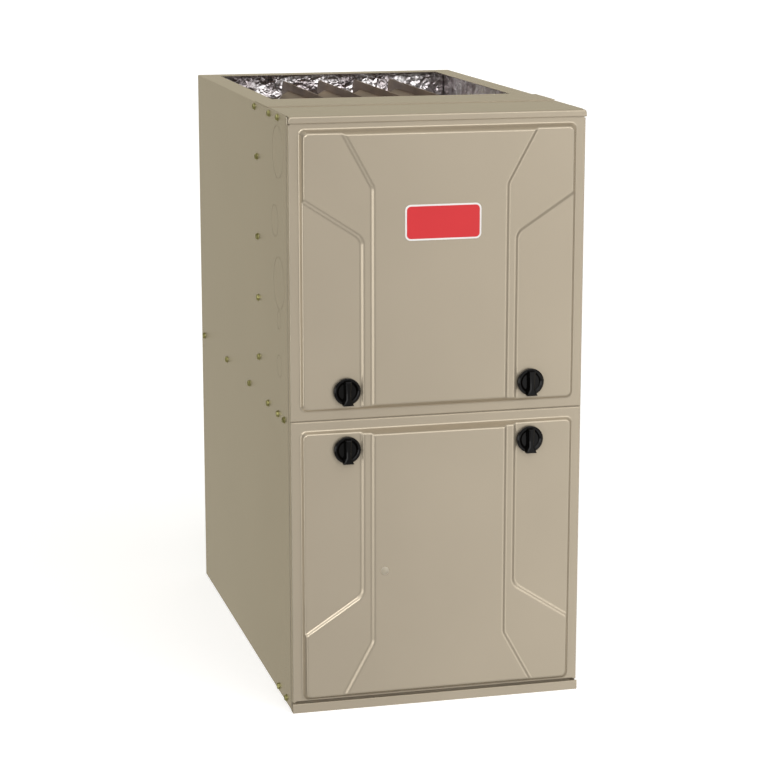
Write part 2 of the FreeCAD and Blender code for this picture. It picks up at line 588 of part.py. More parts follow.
# Knobs: dished black caps with a flared grip; stem and cross wing moulded in one, carried in nylon bushes.
def knob():
    reach = size("knob_reach")
    skirt = size("knob_skirt")
    rim = size("knob_rim")
    dish = size("knob_dish")
    stand = slack
    cap = ring_of([Vec(0, -stand, 0), Vec(reach, -stand, 0), Vec(reach, -skirt + rim / 2, 0),
                   Vec(reach - rim / 2, -skirt, 0), Vec(reach - rim, -skirt, 0),
                   Vec(reach - rim * 2, -skirt + dish, 0), Vec(0, -skirt + dish, 0)], Vec(0, 0, 0), Vec(0,
                                                                                                        1, 0))
    head = size("grip_head") / 2
    waist = size("grip_waist") / 2
    tab = size("grip_tab") / 2
    drop = size("grip_tab_drop")
    rise = reach - rim
    plan = [(-head, rise), (-waist, 0), (-waist, -drop / 2), (-tab, -drop), (tab, -drop), (waist, -drop / 2),
            (waist, 0), (head, rise)]
    wire = Part.makePolygon([Vec(x, -skirt + dish, z) for x, z in plan + plan[:1]])
    grip = Part.Face(wire).extrude(Vec(0, -(size("grip_rise") - skirt + dish), 0))
    top = [edge for edge in grip.Edges if abs(edge.CenterOfMass.y + size("grip_rise")) < slack]
    grip = grip.makeChamfer(size("grip_edge"), top)
    deep = size("door_stand") + size("side_raise") + sheet * 2 + size("wing_clear")
    stem = drum("y", Vec(0, 0, 0), size("stem"), -skirt / 2, deep + size("wing_thick"), "pin_sides")
    wing = slab(-size("wing_wide") / 2, size("wing_wide") / 2, deep, deep + size("wing_thick"),
                -size("wing_long") / 2, size("wing_long") / 2)
    return cap.fuse([grip, stem, wing]).removeSplitter()


def bush():
    inside = size("stem") + slack
    outside = size("stem") + size("bush_wall")
    brim = size("bush_flange")
    thick = size("bush_flange_thick")
    heart = Vec(0, 0, 0)
    sleeve = drum("y", heart, outside, 0, size("bush_depth"), "pin_sides")
    flange = drum("y", heart, brim, sheet, sheet + thick, "pin_sides")
    hole = drum("y", heart, inside, 0, size("bush_depth"), "pin_sides")
    return sleeve.fuse(flange).cut(hole).removeSplitter()


knob_face = front - size("door_stand") - size("side_raise")
knob_shape = knob()
bush_shape = bush()
for level, sign in (("upper", 1), ("lower", -1)):
    sleeves = []
    for hand, turn in (("left", -1), ("right", 1)):
        spot = Vec(turn * size("knob_side"), knob_face, mid + sign * size("knob_off"))
        item = solid("%s_%s_knob" % (level, hand), knob_shape)
        item.Placement = FreeCAD.Placement(spot, FreeCAD.Rotation())
        keep("%s_%s_knob" % (level, hand), item)
        sleeve = bush_shape.copy()
        sleeve.translate(spot)
        sleeves.append(sleeve)
    keep(level + "_knob_bushes", solid(level + "_knob_bushes", Part.makeCompound(sleeves)))


# Screws: yellow-zinc hex washer heads along both sides, at the panels they hold.
def screw_head():
    flats = size("head_flats") / 2
    ring = [math.radians(60 * step) for step in range(6)]
    across = flats / math.cos(math.radians(30))
    hexagon = [Vec(0, across * math.cos(angle), across * math.sin(angle)) for angle in ring]
    head = Part.Face(Part.makePolygon(hexagon + hexagon[:1])).extrude(Vec(size("head_rise"), 0, 0))
    washer = drum("x", Vec(0, 0, 0), size("head_washer") / 2, 0, size("head_washer_thick"), "pin_sides")
    return head.fuse(washer).removeSplitter()


panel_line = size("panel_back") - size("side_tab") / 2
shelf_line = size("shelf_up") + size("deck") - size("shelf_tab") / 2
tab_line = size("cabinet_height") - size("top_lap") - size("side_tab") / 2
deep = size("casing_depth")
filler_shares = (0.42, 0.86)
panel_shares = (0.907, 0.77, 0.664, 0.56)
shelf_shares = (0.0435, 0.102, 0.204, 0.407, 0.671, 0.963)
rail_shares = (0.55, 1.45)
rail_up_share = 0.45
screw_rows = [(size("filler_depth") * share, tab_line) for share in filler_shares]
screw_rows += [(size("panel_back") + size("side_tab") / 2, tab_line)]
screw_rows += [(panel_line, size("cabinet_height") * share) for share in panel_shares]
screw_rows += [(deep * share, shelf_line) for share in shelf_shares]
screw_rows += [(size("rail_floor") * share, size("rail_upturn") * rail_up_share) for share in rail_shares]
heads = []
for back, up in screw_rows:
    for hand in (-1, 1):
        head = screw_head()
        head.rotate(Vec(0, 0, 0), Vec(0, 0, 1), 180 if hand < 0 else 0)
        head.translate(Vec(hand * halfw, front + back, up))
        heads.append(head)
keep("casing_screws", solid("casing_screws", Part.makeCompound(heads)))


# Heat-exchanger cells: two stamped halves seamed along a flat rim, with a three-pass tube bulged out of them.
def tube(side, radius, stations):
    rings = []
    count = int(size("pin_sides"))
    turns = [2 * math.pi * (step + 1 / 2) / count for step in range(count)]
    for centre, heading in stations:
        rise = heading.cross(side)
        spots = [side * math.cos(turn) + rise * math.sin(turn) for turn in turns]
        rings.append([centre + spot * radius for spot in spots])
    return stitched(rings)


def bend_stations(centre, reach, out, start, sweep, steps):
    stations = []
    sense = math.copysign(1, sweep)
    for step in range(steps + 1):
        angle = math.radians(start + sweep * step / steps)
        heading = out * (-math.sin(angle) * sense) + Vec(0, 0, math.cos(angle) * sense)
        stations.append((centre + out * (reach * math.cos(angle)) + Vec(0, 0, reach * math.sin(angle)),
                         heading))
    return stations


def cell():
    start = front + size("panel_back") + size("deck") + slack
    far = front + size("cell_bend_back")
    near = front + size("cell_near_bend")
    end = front + size("box_back") - slack
    pitch = size("pass_pitch")
    up = size("cell_up")
    radius = size("cell_tube")
    bend = pitch / 2
    back = Vec(0, 1, 0)
    stations = [(Vec(0, start, up), back)]
    stations += bend_stations(Vec(0, far, up - bend), bend, back, 90, -180, 6)
    stations += bend_stations(Vec(0, near, up - pitch - bend), bend, back, 90, 180, 6)
    stations += [(Vec(0, end, up - pitch * 2), back)]
    flow = tube(Vec(1, 0, 0), radius, stations)
    flat = size("cell_flat")
    rim = size("cell_rim")
    plate = slab(-flat, flat, front + size("opening_setback") + slack, front + size("cell_plate_end"),
                 up - pitch * 2 - radius - rim, up + radius + rim)
    corners = [edge for edge in plate.Edges if along(edge, "x") and edge.CenterOfMass.y > far]
    plate = plate.makeFillet(size("cell_plate_round"), corners)
    return plate.fuse(flow).removeSplitter()


cell_shape = cell()
for step, share in enumerate(cell_shares, start=1):
    item = solid("primary_cell_%d" % step, cell_shape)
    item.Placement = FreeCAD.Placement(Vec(size("cell_shift") + size("cell_pitch") * share, 0, 0),
                                       FreeCAD.Rotation())
    keep("primary_cell_%d" % step, item)

# Secondary exchanger: finned tube pack between two tube plates, under the cells.
core = box("coil_core", ("-coil_half + coil_inset", "coil_half - coil_inset"),
           ("panel + deck + slack + coil_plate", "front + box_back - slack - coil_plate"),
           ("coil_low + coil_inset", "coil_high - coil_inset"))
plates = [box("coil_plate_front", ("-coil_half", "coil_half"),
              ("panel + deck + slack", "panel + deck + slack + coil_plate"), ("coil_low", "coil_high")),
          box("coil_plate_rear", ("-coil_half", "coil_half"),
              ("front + box_back - slack - coil_plate", "front + box_back - slack"), ("coil_low",
                                                                                      "coil_high"))]
keep("secondary_exchanger", fuse("secondary_exchanger", core, *plates))

# Transition box: pressed hood at the rear that turns the flue gas from the cells into the secondary pack.
hood = box("hood", ("-box_half", "box_half"), ("front + box_back", "front + box_back + box_depth"),
           ("box_low", "box_high"))
hood = bevelled("hood_bends", hood, "box_round", lambda edge: edge.CenterOfMass.y
                > front + size("box_back") + size("box_depth") / 3)
keep("transition_box", hood)

# Collector box: ribbed black moulding on the cell panel that gathers flue gas and condensate.
body = box("coll_body", ("-coll_half", "coll_half"), ("panel - coll_depth", "panel - slack"),
           ("coll_low", "coll_high"))
body = bevelled("coll_round_body", body, "coll_round", lambda edge: edge.CenterOfMass.y
                < front + size("panel_back") - size("coll_depth") / 3)
coll_shares = (0.15, 0.3, 0.45, 1.75, 1.88)
ribs = [box("coll_rib",
            ("-coll_half + coll_half * %s" % share, "-coll_half + coll_half * %s + coll_rib" % share),
            ("panel - coll_depth - coll_rib", "panel - coll_depth + coll_round"),
            ("coll_low + coll_round", "coll_high - coll_round")) for share in coll_shares]
boss = rod("coll_boss", "y", ("ind_side", "ind_up"),
           ("panel - coll_depth - coll_rib", "panel - coll_depth + coll_rib"),
           "ind_radius + ind_flange", "drum_sides")
keep("collector_box", fuse("collector_box", body, boss, *ribs))

# Condensate trap: black moulding standing on the shelf beside the collector.
body = box("trap_body", ("-trap_side", "-trap_side + trap_wide"),
           ("front + trap_back", "front + trap_back + trap_deep"),
           ("shelf_top - slack", "shelf_top + trap_tall"))
body = rounded("trap_round_body", body, "trap_round", lambda edge: along(edge, "z"))
neck = rod("trap_neck", "z", ("-trap_side + trap_wide / 2", "front + trap_back + trap_deep / 3"),
           ("shelf_top + trap_tall", "shelf_top + trap_tall + trap_round * 2"), "trap_round")
keep("condensate_trap", fuse("condensate_trap", body, neck))

# Inducer: moulded scroll on the collector, vane wheel inside, shaded-pole motor in front, outlet upward.
ind_back = size("panel_back") - size("coll_depth") - size("coll_rib") - slack
ind_place = Vec(size("ind_side"), front + ind_back - size("ind_depth"), size("ind_up"))
radius = size("ind_radius")
wall = size("ind_wall")
depth = size("ind_depth")
spout = size("ind_outlet")
spout_x = (radius - spout) * size("ind_spout_share")
drum_out = drum("y", ind_place, radius, 0, depth)
chimney = drum("z", ind_place + Vec(spout_x, depth / 2, 0), spout, 0, size("ind_outlet_up") - size("ind_up"))
flange = drum("y", ind_place, radius + size("ind_flange"), depth - wall * 2, depth)
inside = drum("y", ind_place, radius - wall, wall, depth - wall)
bore = drum("z", ind_place + Vec(spout_x, depth / 2, 0), spout - wall, 0, size("ind_outlet_up"))
eye = drum("y", ind_place, size("ind_hub") + wall, -wall, wall * 2)
keep("inducer_housing", solid("inducer_housing", drum_out.fuse([chimney, flange]).cut(
    inside.fuse([bore, eye])).removeSplitter()))
wheel_deep = size("ind_wheel_deep")
wheel_at = (depth - wheel_deep) / 2
hub_radius = size("ind_hub")
vanes = [drum("y", ind_place, hub_radius, wheel_at, wheel_at + wheel_deep),
         drum("y", ind_place, size("ind_wheel"), wheel_at + wheel_deep - wall, wheel_at + wheel_deep)]
for step in range(int(size("ind_blades"))):
    vane = slab(hub_radius - wall, size("ind_wheel"), wheel_at, wheel_at + wheel_deep, -wall / 2, wall / 2)
    vane.rotate(Vec(0, 0, 0), Vec(0, 1, 0), 360 * step / size("ind_blades"))
    vane.translate(ind_place)
    vanes.append(vane)
shaft_hole = drum("y", ind_place, size("ind_shaft") + slack, 0, depth, "pin_sides")
keep("inducer_wheel", solid("inducer_wheel", vanes[0].fuse(vanes[1:]).cut(shaft_hole).removeSplitter()))
motor_deep = size("ind_motor_deep")
cap_deep = size("ind_motor_cap")
can = size("ind_motor")
body = drum("y", ind_place, can, -cap_deep - slack, -slack)
stack_wide = can * size("stack_wide_share")
stack_tall = can * size("stack_tall_share")
stack = slab(-stack_wide, stack_wide, -motor_deep, -cap_deep - slack, -stack_tall, stack_tall)
stack.translate(ind_place)
nose = drum("y", ind_place, can * size("nose_share"), -motor_deep - cap_deep / 2, -motor_deep)
shaft = drum("y", ind_place, size("ind_shaft"), -slack, wheel_at + wheel_deep, "pin_sides")
keep("inducer_motor", solid("inducer_motor", body.fuse([stack, nose, shaft]).removeSplitter()))

# Burner box: open-fronted sheet box that carries four inshot burners in line with the cells.
outer = box("bbox_outer", ("cell_shift - bbox_half", "cell_shift + bbox_half"),
            ("front + bbox_front", "panel - slack"),
            ("bbox_low", "bbox_high"))
void = box("bbox_void", ("cell_shift - bbox_half + deck", "cell_shift + bbox_half - deck"),
           ("front + bbox_front - hem", "panel - slack - deck"), ("bbox_low + deck", "bbox_high - deck"))
holes = [rod("flame_hole", "y", ("cell_shift + cell_pitch * %s" % share, "cell_up"),
             ("panel - hem * 2", "panel"),
             "inlet_bore") for share in cell_shares]
keep("burner_box", cut("burner_box", outer, void, *holes))
burner_start = front + size("bbox_front") + size("hem")
burner_end = front + size("panel_back") - size("deck") - slack * 2
burner_row = []
run = burner_end - burner_start
neck_shares = (0.3, 0.5, 0.8)
mouth = size("burner_mouth")
neck = size("burner_venturi")
tip = size("burner")
hole = size("spud") + slack
for share in cell_shares:
    spot = Vec(size("cell_shift") + size("cell_pitch") * share, burner_start, size("cell_up"))
    horn = turned(spot,
                  [(mouth, 0), (mouth, sheet * 2), (neck, run * neck_shares[0]),
                   (neck, run * neck_shares[1]),
                         (tip, run * neck_shares[2]), (tip, run)])
    burner_row.append(horn.cut(drum("y", spot, hole, 0, run, "pin_sides")))
bridge_shares = (0.36, 0.44)
half = size("bbox_half") - size("deck")
shift = size("cell_shift")
cross = slab(shift - half, shift + half, burner_start + run * bridge_shares[0],
             burner_start + run * bridge_shares[1],
             size("cell_up") - tip, size("cell_up") + tip)
for share in cell_shares:
    spot = Vec(shift + size("cell_pitch") * share, 0, size("cell_up"))
    cross = cross.cut(drum("y", spot, neck - sheet / 2, front, rear, "pin_sides"))
keep("burners", solid("burners", burner_row[0].fuse(burner_row[1:] + [cross]).removeSplitter()))

# Gas manifold: bent pipe from the valve with four brass-tipped spuds aimed into the burners.
pipe_y = front + size("manifold_back")
valve_x = -size("valve_side")
riser_low = size("valve_up") + size("valve_tall") / 2 + slack
bend = size("manifold_bend")
run_end = shift + size("cell_pitch") * cell_shares[-1] + mouth
cell_up = size("cell_up")
stations = [(Vec(valve_x, pipe_y, riser_low), Vec(0, 0, 1))]
stations += bend_stations(Vec(valve_x + bend, pipe_y, cell_up - bend), bend, Vec(1, 0, 0), 180, -90, 4)
stations += [(Vec(run_end, pipe_y, cell_up), Vec(1, 0, 0))]
pipe = tube(Vec(0, 1, 0), size("manifold"), stations)
spuds = [drum("y", Vec(shift + size("cell_pitch") * share, pipe_y, cell_up), size("spud"), 0,
              size("bbox_front") - size("manifold_back") + size("hem") * 2, "pin_sides")
         for share in cell_shares]
ear_share = 1.6
ear = size("manifold") * ear_share
ears = [slab(x - size("deck"), x, pipe_y - sheet, front + size("bbox_front") - slack, cell_up - ear,
             cell_up + ear)
        for x in (shift - size("cell_pitch"), shift + size("cell_pitch"))]
keep("gas_manifold", solid("gas_manifold", pipe.fuse(spuds + ears).removeSplitter()))

# Gas valve: die-cast body with side ports, regulator cap and a quarter-turn dial on its front.
core = box("valve_core", ("-valve_side - valve_wide / 2", "-valve_side + valve_wide / 2"),
           ("front + manifold_back - valve_deep / 2", "front + manifold_back + valve_deep / 2"),
           ("valve_up - valve_tall / 2", "valve_up + valve_tall / 2"))
core = bevelled("valve_edges", core, "valve_edge", lambda edge: True)
inlet = rod("valve_inlet", "x", ("front + manifold_back", "valve_up"),
            ("-valve_side - valve_wide / 2 - valve_port_long",
             "-valve_side - valve_wide / 2 + valve_edge"), "valve_port")
cap = rod("valve_cap", "y", ("-valve_side + valve_wide / 4", "valve_up + valve_tall / 5"),
          ("front + manifold_back - valve_deep / 2 - valve_cap_rise", "front + manifold_back"), "valve_cap")
keep("gas_valve", fuse("gas_valve", core, inlet, cap))
dial_place = ("-valve_side - valve_wide / 5", "valve_up - valve_tall / 6")
dial_face = "front + manifold_back - valve_deep / 2 - slack"
dial = rod("valve_dial", "y", dial_place, (dial_face + " - valve_switch_rise", dial_face),
           "valve_switch_tall / 2")
grip = box("valve_grip",
           (dial_place[0] + " - valve_switch_wide / 4", dial_place[0] + " + valve_switch_wide / 4"),
           (dial_face + " - valve_switch_rise * 2", dial_face),
           (dial_place[1] + " - valve_switch_tall / 2", dial_place[1] + " + valve_switch_tall / 2"))
toggle = fuse("valve_switch", dial, grip)
keep("gas_valve_switch", toggle)

# Igniter and flame sensor: ceramic bodies on tabs at the two ends of the burner row.
for name, hand in (("igniter", 1), ("flame_sensor", -1)):
    side = "cell_shift %s bbox_half" % ("+" if hand > 0 else "-")
    step = "+" if hand > 0 else "-"
    ends = ("%s + slack" % side, "%s + slack + deck" % side) if hand > 0 else (
        "%s - slack - deck" % side, "%s - slack" % side)
    tab = box(name + "_tab", ends, ("front + bbox_front + ign_tab", "front + bbox_front + ign_tab * 2"),
              ("cell_up - ign_tab", "cell_up"))
    out = ("%s + slack + deck" % side, "%s + slack + deck + ign_body_long" % side) if hand > 0 else (
        "%s - slack - deck - ign_body_long" % side, "%s - slack - deck" % side)
    body = rod(name + "_body", "x", ("front + bbox_front + ign_tab * 3 / 2", "cell_up - ign_tab / 2"), out,
               "ign_body")
    keep(name, fuse(name, tab, body))

# Rollout switches: thermal discs on a plate under the burner box, each with its own reset button.
plate = box("roll_plate", ("cell_shift - roll_side - roll_plate", "cell_shift + roll_side + roll_plate"),
            ("front + bbox_front", "front + bbox_front + deck"), ("bbox_low - roll_drop", "bbox_low"))
foot = box("roll_foot", ("cell_shift - roll_side - roll_plate", "cell_shift + roll_side + roll_plate"),
           ("front + bbox_front", "front + bbox_front + side_tab"), ("bbox_low - deck", "bbox_low"))
discs = [rod("roll_disc", "y", ("cell_shift %s roll_side" % step, "bbox_low - roll_drop / 2"),
             ("front + bbox_front - roll_disc_deep",
              "front + bbox_front + deck"), "roll_disc") for step in "-+"]
wells = [rod("roll_well", "y", ("cell_shift %s roll_side" % step, "bbox_low - roll_drop / 2"),
             ("front + bbox_front - roll_disc_deep * 2", "front + bbox_front - sheet"),
             "roll_button + slack") for step in "-+"]
keep("rollout_switches", cut("rollout_switches", fuse("roll_body", plate, foot, *discs), *wells))
for name, step in (("left", "-"), ("right", "+")):
    ends = ("front + bbox_front - roll_disc_deep - roll_button_rise",
            "front + bbox_front - sheet - roll_button_rise")
    keep("rollout_button_" + name,
         rod("rollout_button_" + name, "y",
             ("cell_shift %s roll_side" % step, "bbox_low - roll_drop / 2"), ends, "roll_button"))

# Limit switch on the cell panel and the pressure switch beside the inducer.
plate = box("limit_plate", ("limit_side - limit_plate / 2", "limit_side + limit_plate / 2"),
            ("panel - slack - deck", "panel - slack"), ("limit_up - limit_plate", "limit_up + limit_plate"))
disc = rod("limit_disc", "y", ("limit_side", "limit_up"),
           ("panel - slack - deck - limit_deep", "panel - slack - deck"),
           "limit_disc")
keep("limit_switch", fuse("limit_switch", plate, disc))
bracket = box("press_plate",
              ("press_switch_side - press_bracket / 2", "press_switch_side + press_bracket / 2"),
              ("panel - slack - deck", "panel - slack"),
              ("press_switch_up - press_switch * press_long_share",
               "press_switch_up + press_switch * press_long_share"))
disc = rod("press_disc", "y", ("press_switch_side", "press_switch_up"),
           ("panel - slack - deck - press_switch_deep", "panel - slack - deck"), "press_switch")
hub = rod("press_hub", "y", ("press_switch_side", "press_switch_up"),
          ("panel - slack - deck - press_switch_deep * press_long_share", "panel - slack - deck"),
          "press_switch * press_hub_share")
stub = rod("press_port", "z", ("press_switch_side", "panel - slack - deck - press_switch_deep / 2"),
           ("press_switch_up - press_switch * press_long_share", "press_switch_up"), "press_port")
keep("pressure_switch", fuse("pressure_switch", bracket, disc, hub, stub))

# Blower housing: sheet scroll with flared inlets both sides, blowing up through the shelf.
blow = Vec(0, front + size("blow_back"), size("blow_up"))
blow_half = size("blow_half")
wall = size("blow_wall")
cut_radius = size("blow_cut")
max_radius = size("blow_max")
roof = size("shelf_up") - slack
start_angle = 90 + math.degrees(math.asin(size("cutoff_share")))
turns = 24
sweep = 360 - start_angle


def scroll(inset, ceiling):
    spots = []
    for step in range(turns + 1):
        share = step / turns
        angle = math.radians(start_angle + sweep * share)
        reach = cut_radius + (max_radius - cut_radius) * share - inset
        spots.append(Vec(0, blow.y + reach * math.cos(angle), blow.z + reach * math.sin(angle)))
    spots.append(Vec(0, blow.y + max_radius - inset, ceiling))
    spots.append(Vec(0, spots[0].y, ceiling))
    return spots


def blown(spots, half):
    shape = Part.Face(Part.makePolygon(spots + spots[:1])).extrude(Vec(half * 2, 0, 0))
    shape.translate(Vec(-half, 0, 0))
    return shape


brim = size("blow_flange")
case = blown(scroll(0, roof), blow_half)
room = blown(scroll(wall, roof + wall), blow_half - wall)
cut_y = scroll(0, roof)[0].y
lid = slab(-blow_half - brim, blow_half + brim, cut_y - brim, blow.y + max_radius + brim, roof - wall, roof)
inlet = size("blow_inlet")
flare = size("blow_venturi")
rims = []
for hand in (-1, 1):
    rims.append(drum("x", blow, inlet + wall * 2, min(hand * blow_half, hand * (blow_half + flare)),
                     max(hand * blow_half, hand * (blow_half + flare))))
eyes = drum("x", blow, inlet, -blow_half - flare * 2, blow_half + flare * 2)
keep("blower_housing", solid("blower_housing", case.fuse([lid] + rims).cut(room.fuse(eyes)).removeSplitter()))

# Blower wheel: double-inlet squirrel cage of forward-curved blades on one centre disc.
wheel_half = size("blow_wheel_half")
wheel_radius = size("blow_wheel")
ring_deep = size("blow_ring")
ring_wide = size("blow_ring_wide")
hoops = []
for low in (-wheel_half, wheel_half - ring_wide):
    hoop = drum("x", blow, wheel_radius, low, low + ring_wide)
    hoops.append(hoop.cut(drum("x", blow, wheel_radius - ring_deep, low, low + ring_wide)))
hub_disc = drum("x", blow, wheel_radius - size("blow_blade_thick"), -size("blow_disc") / 2,
                size("blow_disc") / 2)
hub = drum("x", blow, size("blow_hub"), -size("blow_hub"), size("blow_hub"))
blades = []
for step in range(int(size("blow_blades"))):
    blade = slab(-wheel_half, wheel_half, wheel_radius - ring_deep, wheel_radius - size("blow_blade_thick"),
                 -size("blow_blade_thick") / 2, size("blow_blade_thick") / 2)
    blade.rotate(Vec(0, wheel_radius - ring_deep / 2, 0), Vec(1, 0, 0), size("blade_lean"))
    blade.rotate(Vec(0, 0, 0), Vec(1, 0, 0), 360 * step / size("blow_blades"))
    blade.translate(blow)
    blades.append(blade)
axle_hole = drum("x", blow, size("shaft") + slack, -wheel_half, wheel_half, "pin_sides")
keep("blower_wheel",
     solid("blower_wheel", hub_disc.fuse(hoops + [hub] + blades).cut(axle_hole).removeSplitter()))

# Blower motor in the left inlet, held by a belly band with three arms.
motor = size("motor")
out = -size("motor_out")
into = -size("motor_in")
cap = size("motor_cap")
can = drum("x", blow, motor, out + cap, into - cap)
bell = motor * size("motor_end_share")
ends = [drum("x", blow, bell, out, out + cap), drum("x", blow, bell, into - cap, into),
        drum("x", blow, size("shaft"), into, size("blow_hub"), "pin_sides")]
keep("blower_motor", solid("blower_motor", can.fuse(ends).removeSplitter()))
band = motor + slack + size("band_thick")
band_low = -blow_half - size("blow_venturi") - size("band_wide")
ring = drum("x", blow, band, band_low, band_low + size("band_wide")).cut(
    drum("x", blow, motor + slack, band_low, band_low + size("band_wide")))
arms = []
for step in range(3):
    arm_low = -blow_half - size("blow_venturi") - size("arm_thick")
    bar = slab(arm_low, arm_low + size("arm_thick"), band - slack, size("arm_reach"), -size("arm_wide") / 2,
               size("arm_wide") / 2)
    foot = slab(arm_low, -blow_half - slack, size("arm_reach") - size("arm_thick"), size("arm_reach"),
                -size("arm_wide") / 2, size("arm_wide") / 2)
    toe = slab(-blow_half - slack - size("arm_thick"), -blow_half - slack,
               size("arm_reach") - size("arm_thick"),
               size("arm_reach") + size("arm_foot"), -size("arm_wide") / 2, size("arm_wide") / 2)
    limb = bar.fuse([foot, toe])
    limb.rotate(Vec(0, 0, 0), Vec(1, 0, 0), 90 + 120 * step)
    limb.translate(blow)
    arms.append(limb)
keep("motor_mount", solid("motor_mount", ring.fuse(arms).removeSplitter()))

# Control plate hung under the shelf, with the board, the transformer and the door switch.
back = box("ctrl_back", ("-ctrl_left", "ctrl_right"), ("front + ctrl_back", "front + ctrl_back + deck"),
           ("ctrl_low", "shelf_up - slack"))
turn = box("ctrl_turn", ("-ctrl_left", "ctrl_right"), ("front + ctrl_back", "front + ctrl_back + ctrl_turn"),
           ("shelf_up - slack - deck", "shelf_up - slack"))
foot = box("ctrl_foot", ("-ctrl_left", "ctrl_right"),
           ("front + ctrl_back - ctrl_turn", "front + ctrl_back + deck"),
           ("ctrl_low", "ctrl_low + deck"))
keep("control_plate", fuse("control_plate", back, turn, foot))
face_y = front + size("ctrl_back") - size("board_stand") - size("board_thick")
left = -size("board_left")
low = size("board_low")
wide = size("board_wide")
tall = size("board_tall")
board = slab(left, left + wide, face_y, face_y + size("board_thick"), low, low + tall)
post_shares = (0.06, 0.94)
relay_shares = (0.12, 0.3, 0.48)
relay_up_share = 0.6
strip_shares = (0.1, 0.88)
post = size("led") + slack
posts = [drum("y", Vec(left + wide * x, face_y, low + tall * z), post, 0,
              size("board_thick") + size("board_stand") - slack, "pin_sides")
         for x in post_shares for z in post_shares]
relay_low = low + tall * relay_up_share
relays = [slab(left + wide * x, left + wide * x + size("relay_wide"), face_y - size("relay_deep"), face_y,
               relay_low, relay_low + size("relay_tall")) for x in relay_shares]
strip_left = left + wide * relay_shares[0]
strips = [slab(strip_left, strip_left + size("strip_wide"), face_y - size("strip_deep"), face_y,
               low + tall * z, low + tall * z + size("strip_tall")) for z in strip_shares]
lamp = drum("y", Vec(-size("glass_side"), face_y, size("glass_up")), size("led"), -size("led_long"), 0,
            "pin_sides")
keep("control_board", solid("control_board", board.fuse(posts + relays + strips + [lamp]).removeSplitter()))
trans_back = "front + ctrl_back - slack"
core = box("trans_core", ("trans_side - trans_lam", "trans_side + trans_lam"),
           (trans_back + " - trans_deep", trans_back), ("trans_low", "trans_low + trans_tall"))
coil = box("trans_coil", ("trans_side - trans_wide / 2", "trans_side + trans_wide / 2"),
           (trans_back + " - trans_deep + trans_inset", trans_back + " - trans_inset"),
           ("trans_low + trans_foot_tall", "trans_low + trans_tall - trans_foot_tall"))
tab = box("trans_foot", ("trans_side - trans_foot / 2 + hem", "trans_side + trans_foot / 2 - hem"),
          (trans_back + " - hem", trans_back), ("trans_low", "trans_low + trans_foot_tall"))
keep("transformer", fuse("transformer", core, coil, tab))
body = box("dsw_body", ("dsw_side - dsw_wide / 2", "dsw_side + dsw_wide / 2"),
           ("front + sheet * 2", "front + sheet * 2 + dsw_deep"), ("mid - dsw_drop - dsw_tall / 2",
                                                                   "mid - dsw_drop + dsw_tall / 2"))
well = rod("dsw_well", "y", ("dsw_side", "mid - dsw_drop"), ("front", "front + dsw_deep"), "plunger + slack")
keep("door_switch", cut("door_switch", body, well))
keep("door_switch_plunger", rod("door_switch_plunger", "y", ("dsw_side", "mid - dsw_drop"),
                                ("front - door_stand + sheet + slack / 3",
                                 "front + dsw_deep - filler_lap"), "plunger"))

# Junction box inside the left wall, with a screwed lid facing the door.
outer = box("jbox_outer", ("-inner", "-inner + jbox_wide"),
            ("front + jbox_back + jbox_lid", "front + jbox_back + jbox_deep"),
            ("jbox_up", "jbox_up + jbox_tall"))
lid = box("jbox_lid", ("-inner + slack", "-inner + jbox_wide + hem"),
          ("front + jbox_back", "front + jbox_back + jbox_lid"),
          ("jbox_up - hem", "jbox_up + jbox_tall + hem"))
keep("junction_box", fuse("junction_box", outer, lid))

doc.recompute()
os.makedirs("parts", exist_ok=True)
for item in doc.Objects:
    if "Invalid" in item.State or "Error" in item.State:
        raise SystemExit("object failed: " + item.Name)
for name, item in pieces.items():
    shape = item.Shape
    if shape.isNull() or not shape.isValid() or not shape.Solids:
        raise SystemExit("bad shape: " + name)
    shape.exportStep("parts/" + name + ".step")
print("pieces", len(pieces))
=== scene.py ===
import math

import bmesh
import bpy
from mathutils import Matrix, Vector, noise


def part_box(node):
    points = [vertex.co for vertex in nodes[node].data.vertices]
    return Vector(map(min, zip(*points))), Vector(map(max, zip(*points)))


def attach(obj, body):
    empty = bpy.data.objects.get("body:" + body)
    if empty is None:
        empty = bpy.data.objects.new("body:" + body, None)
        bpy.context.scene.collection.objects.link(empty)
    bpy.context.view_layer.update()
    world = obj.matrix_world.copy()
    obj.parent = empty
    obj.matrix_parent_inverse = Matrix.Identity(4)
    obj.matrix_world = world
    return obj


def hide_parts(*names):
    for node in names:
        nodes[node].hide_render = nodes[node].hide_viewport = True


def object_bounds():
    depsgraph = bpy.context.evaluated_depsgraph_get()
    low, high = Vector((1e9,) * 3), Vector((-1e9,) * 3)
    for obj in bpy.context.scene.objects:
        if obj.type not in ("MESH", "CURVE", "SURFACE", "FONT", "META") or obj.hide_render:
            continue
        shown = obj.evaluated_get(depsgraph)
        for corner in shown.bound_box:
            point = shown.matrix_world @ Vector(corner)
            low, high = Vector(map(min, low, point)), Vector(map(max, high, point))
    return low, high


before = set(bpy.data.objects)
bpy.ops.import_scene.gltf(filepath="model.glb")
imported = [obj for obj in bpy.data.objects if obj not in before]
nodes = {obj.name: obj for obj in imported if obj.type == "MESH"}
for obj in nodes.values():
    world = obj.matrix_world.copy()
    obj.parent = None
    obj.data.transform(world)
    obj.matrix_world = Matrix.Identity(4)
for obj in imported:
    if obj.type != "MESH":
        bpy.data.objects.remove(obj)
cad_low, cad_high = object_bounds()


# View: a long lens off the cabinet's left front corner and above its top, looking down at it.
# The distance, turn and tilt are those that put the corners of its front where the photograph has them.
scene = bpy.context.scene
image_side = 768
focal_pixels = 2342
sensor_width = 36
turn = 0.2502
tilt = 0.2138
camera_place = (-0.9098, -3.6128, 1.2205)
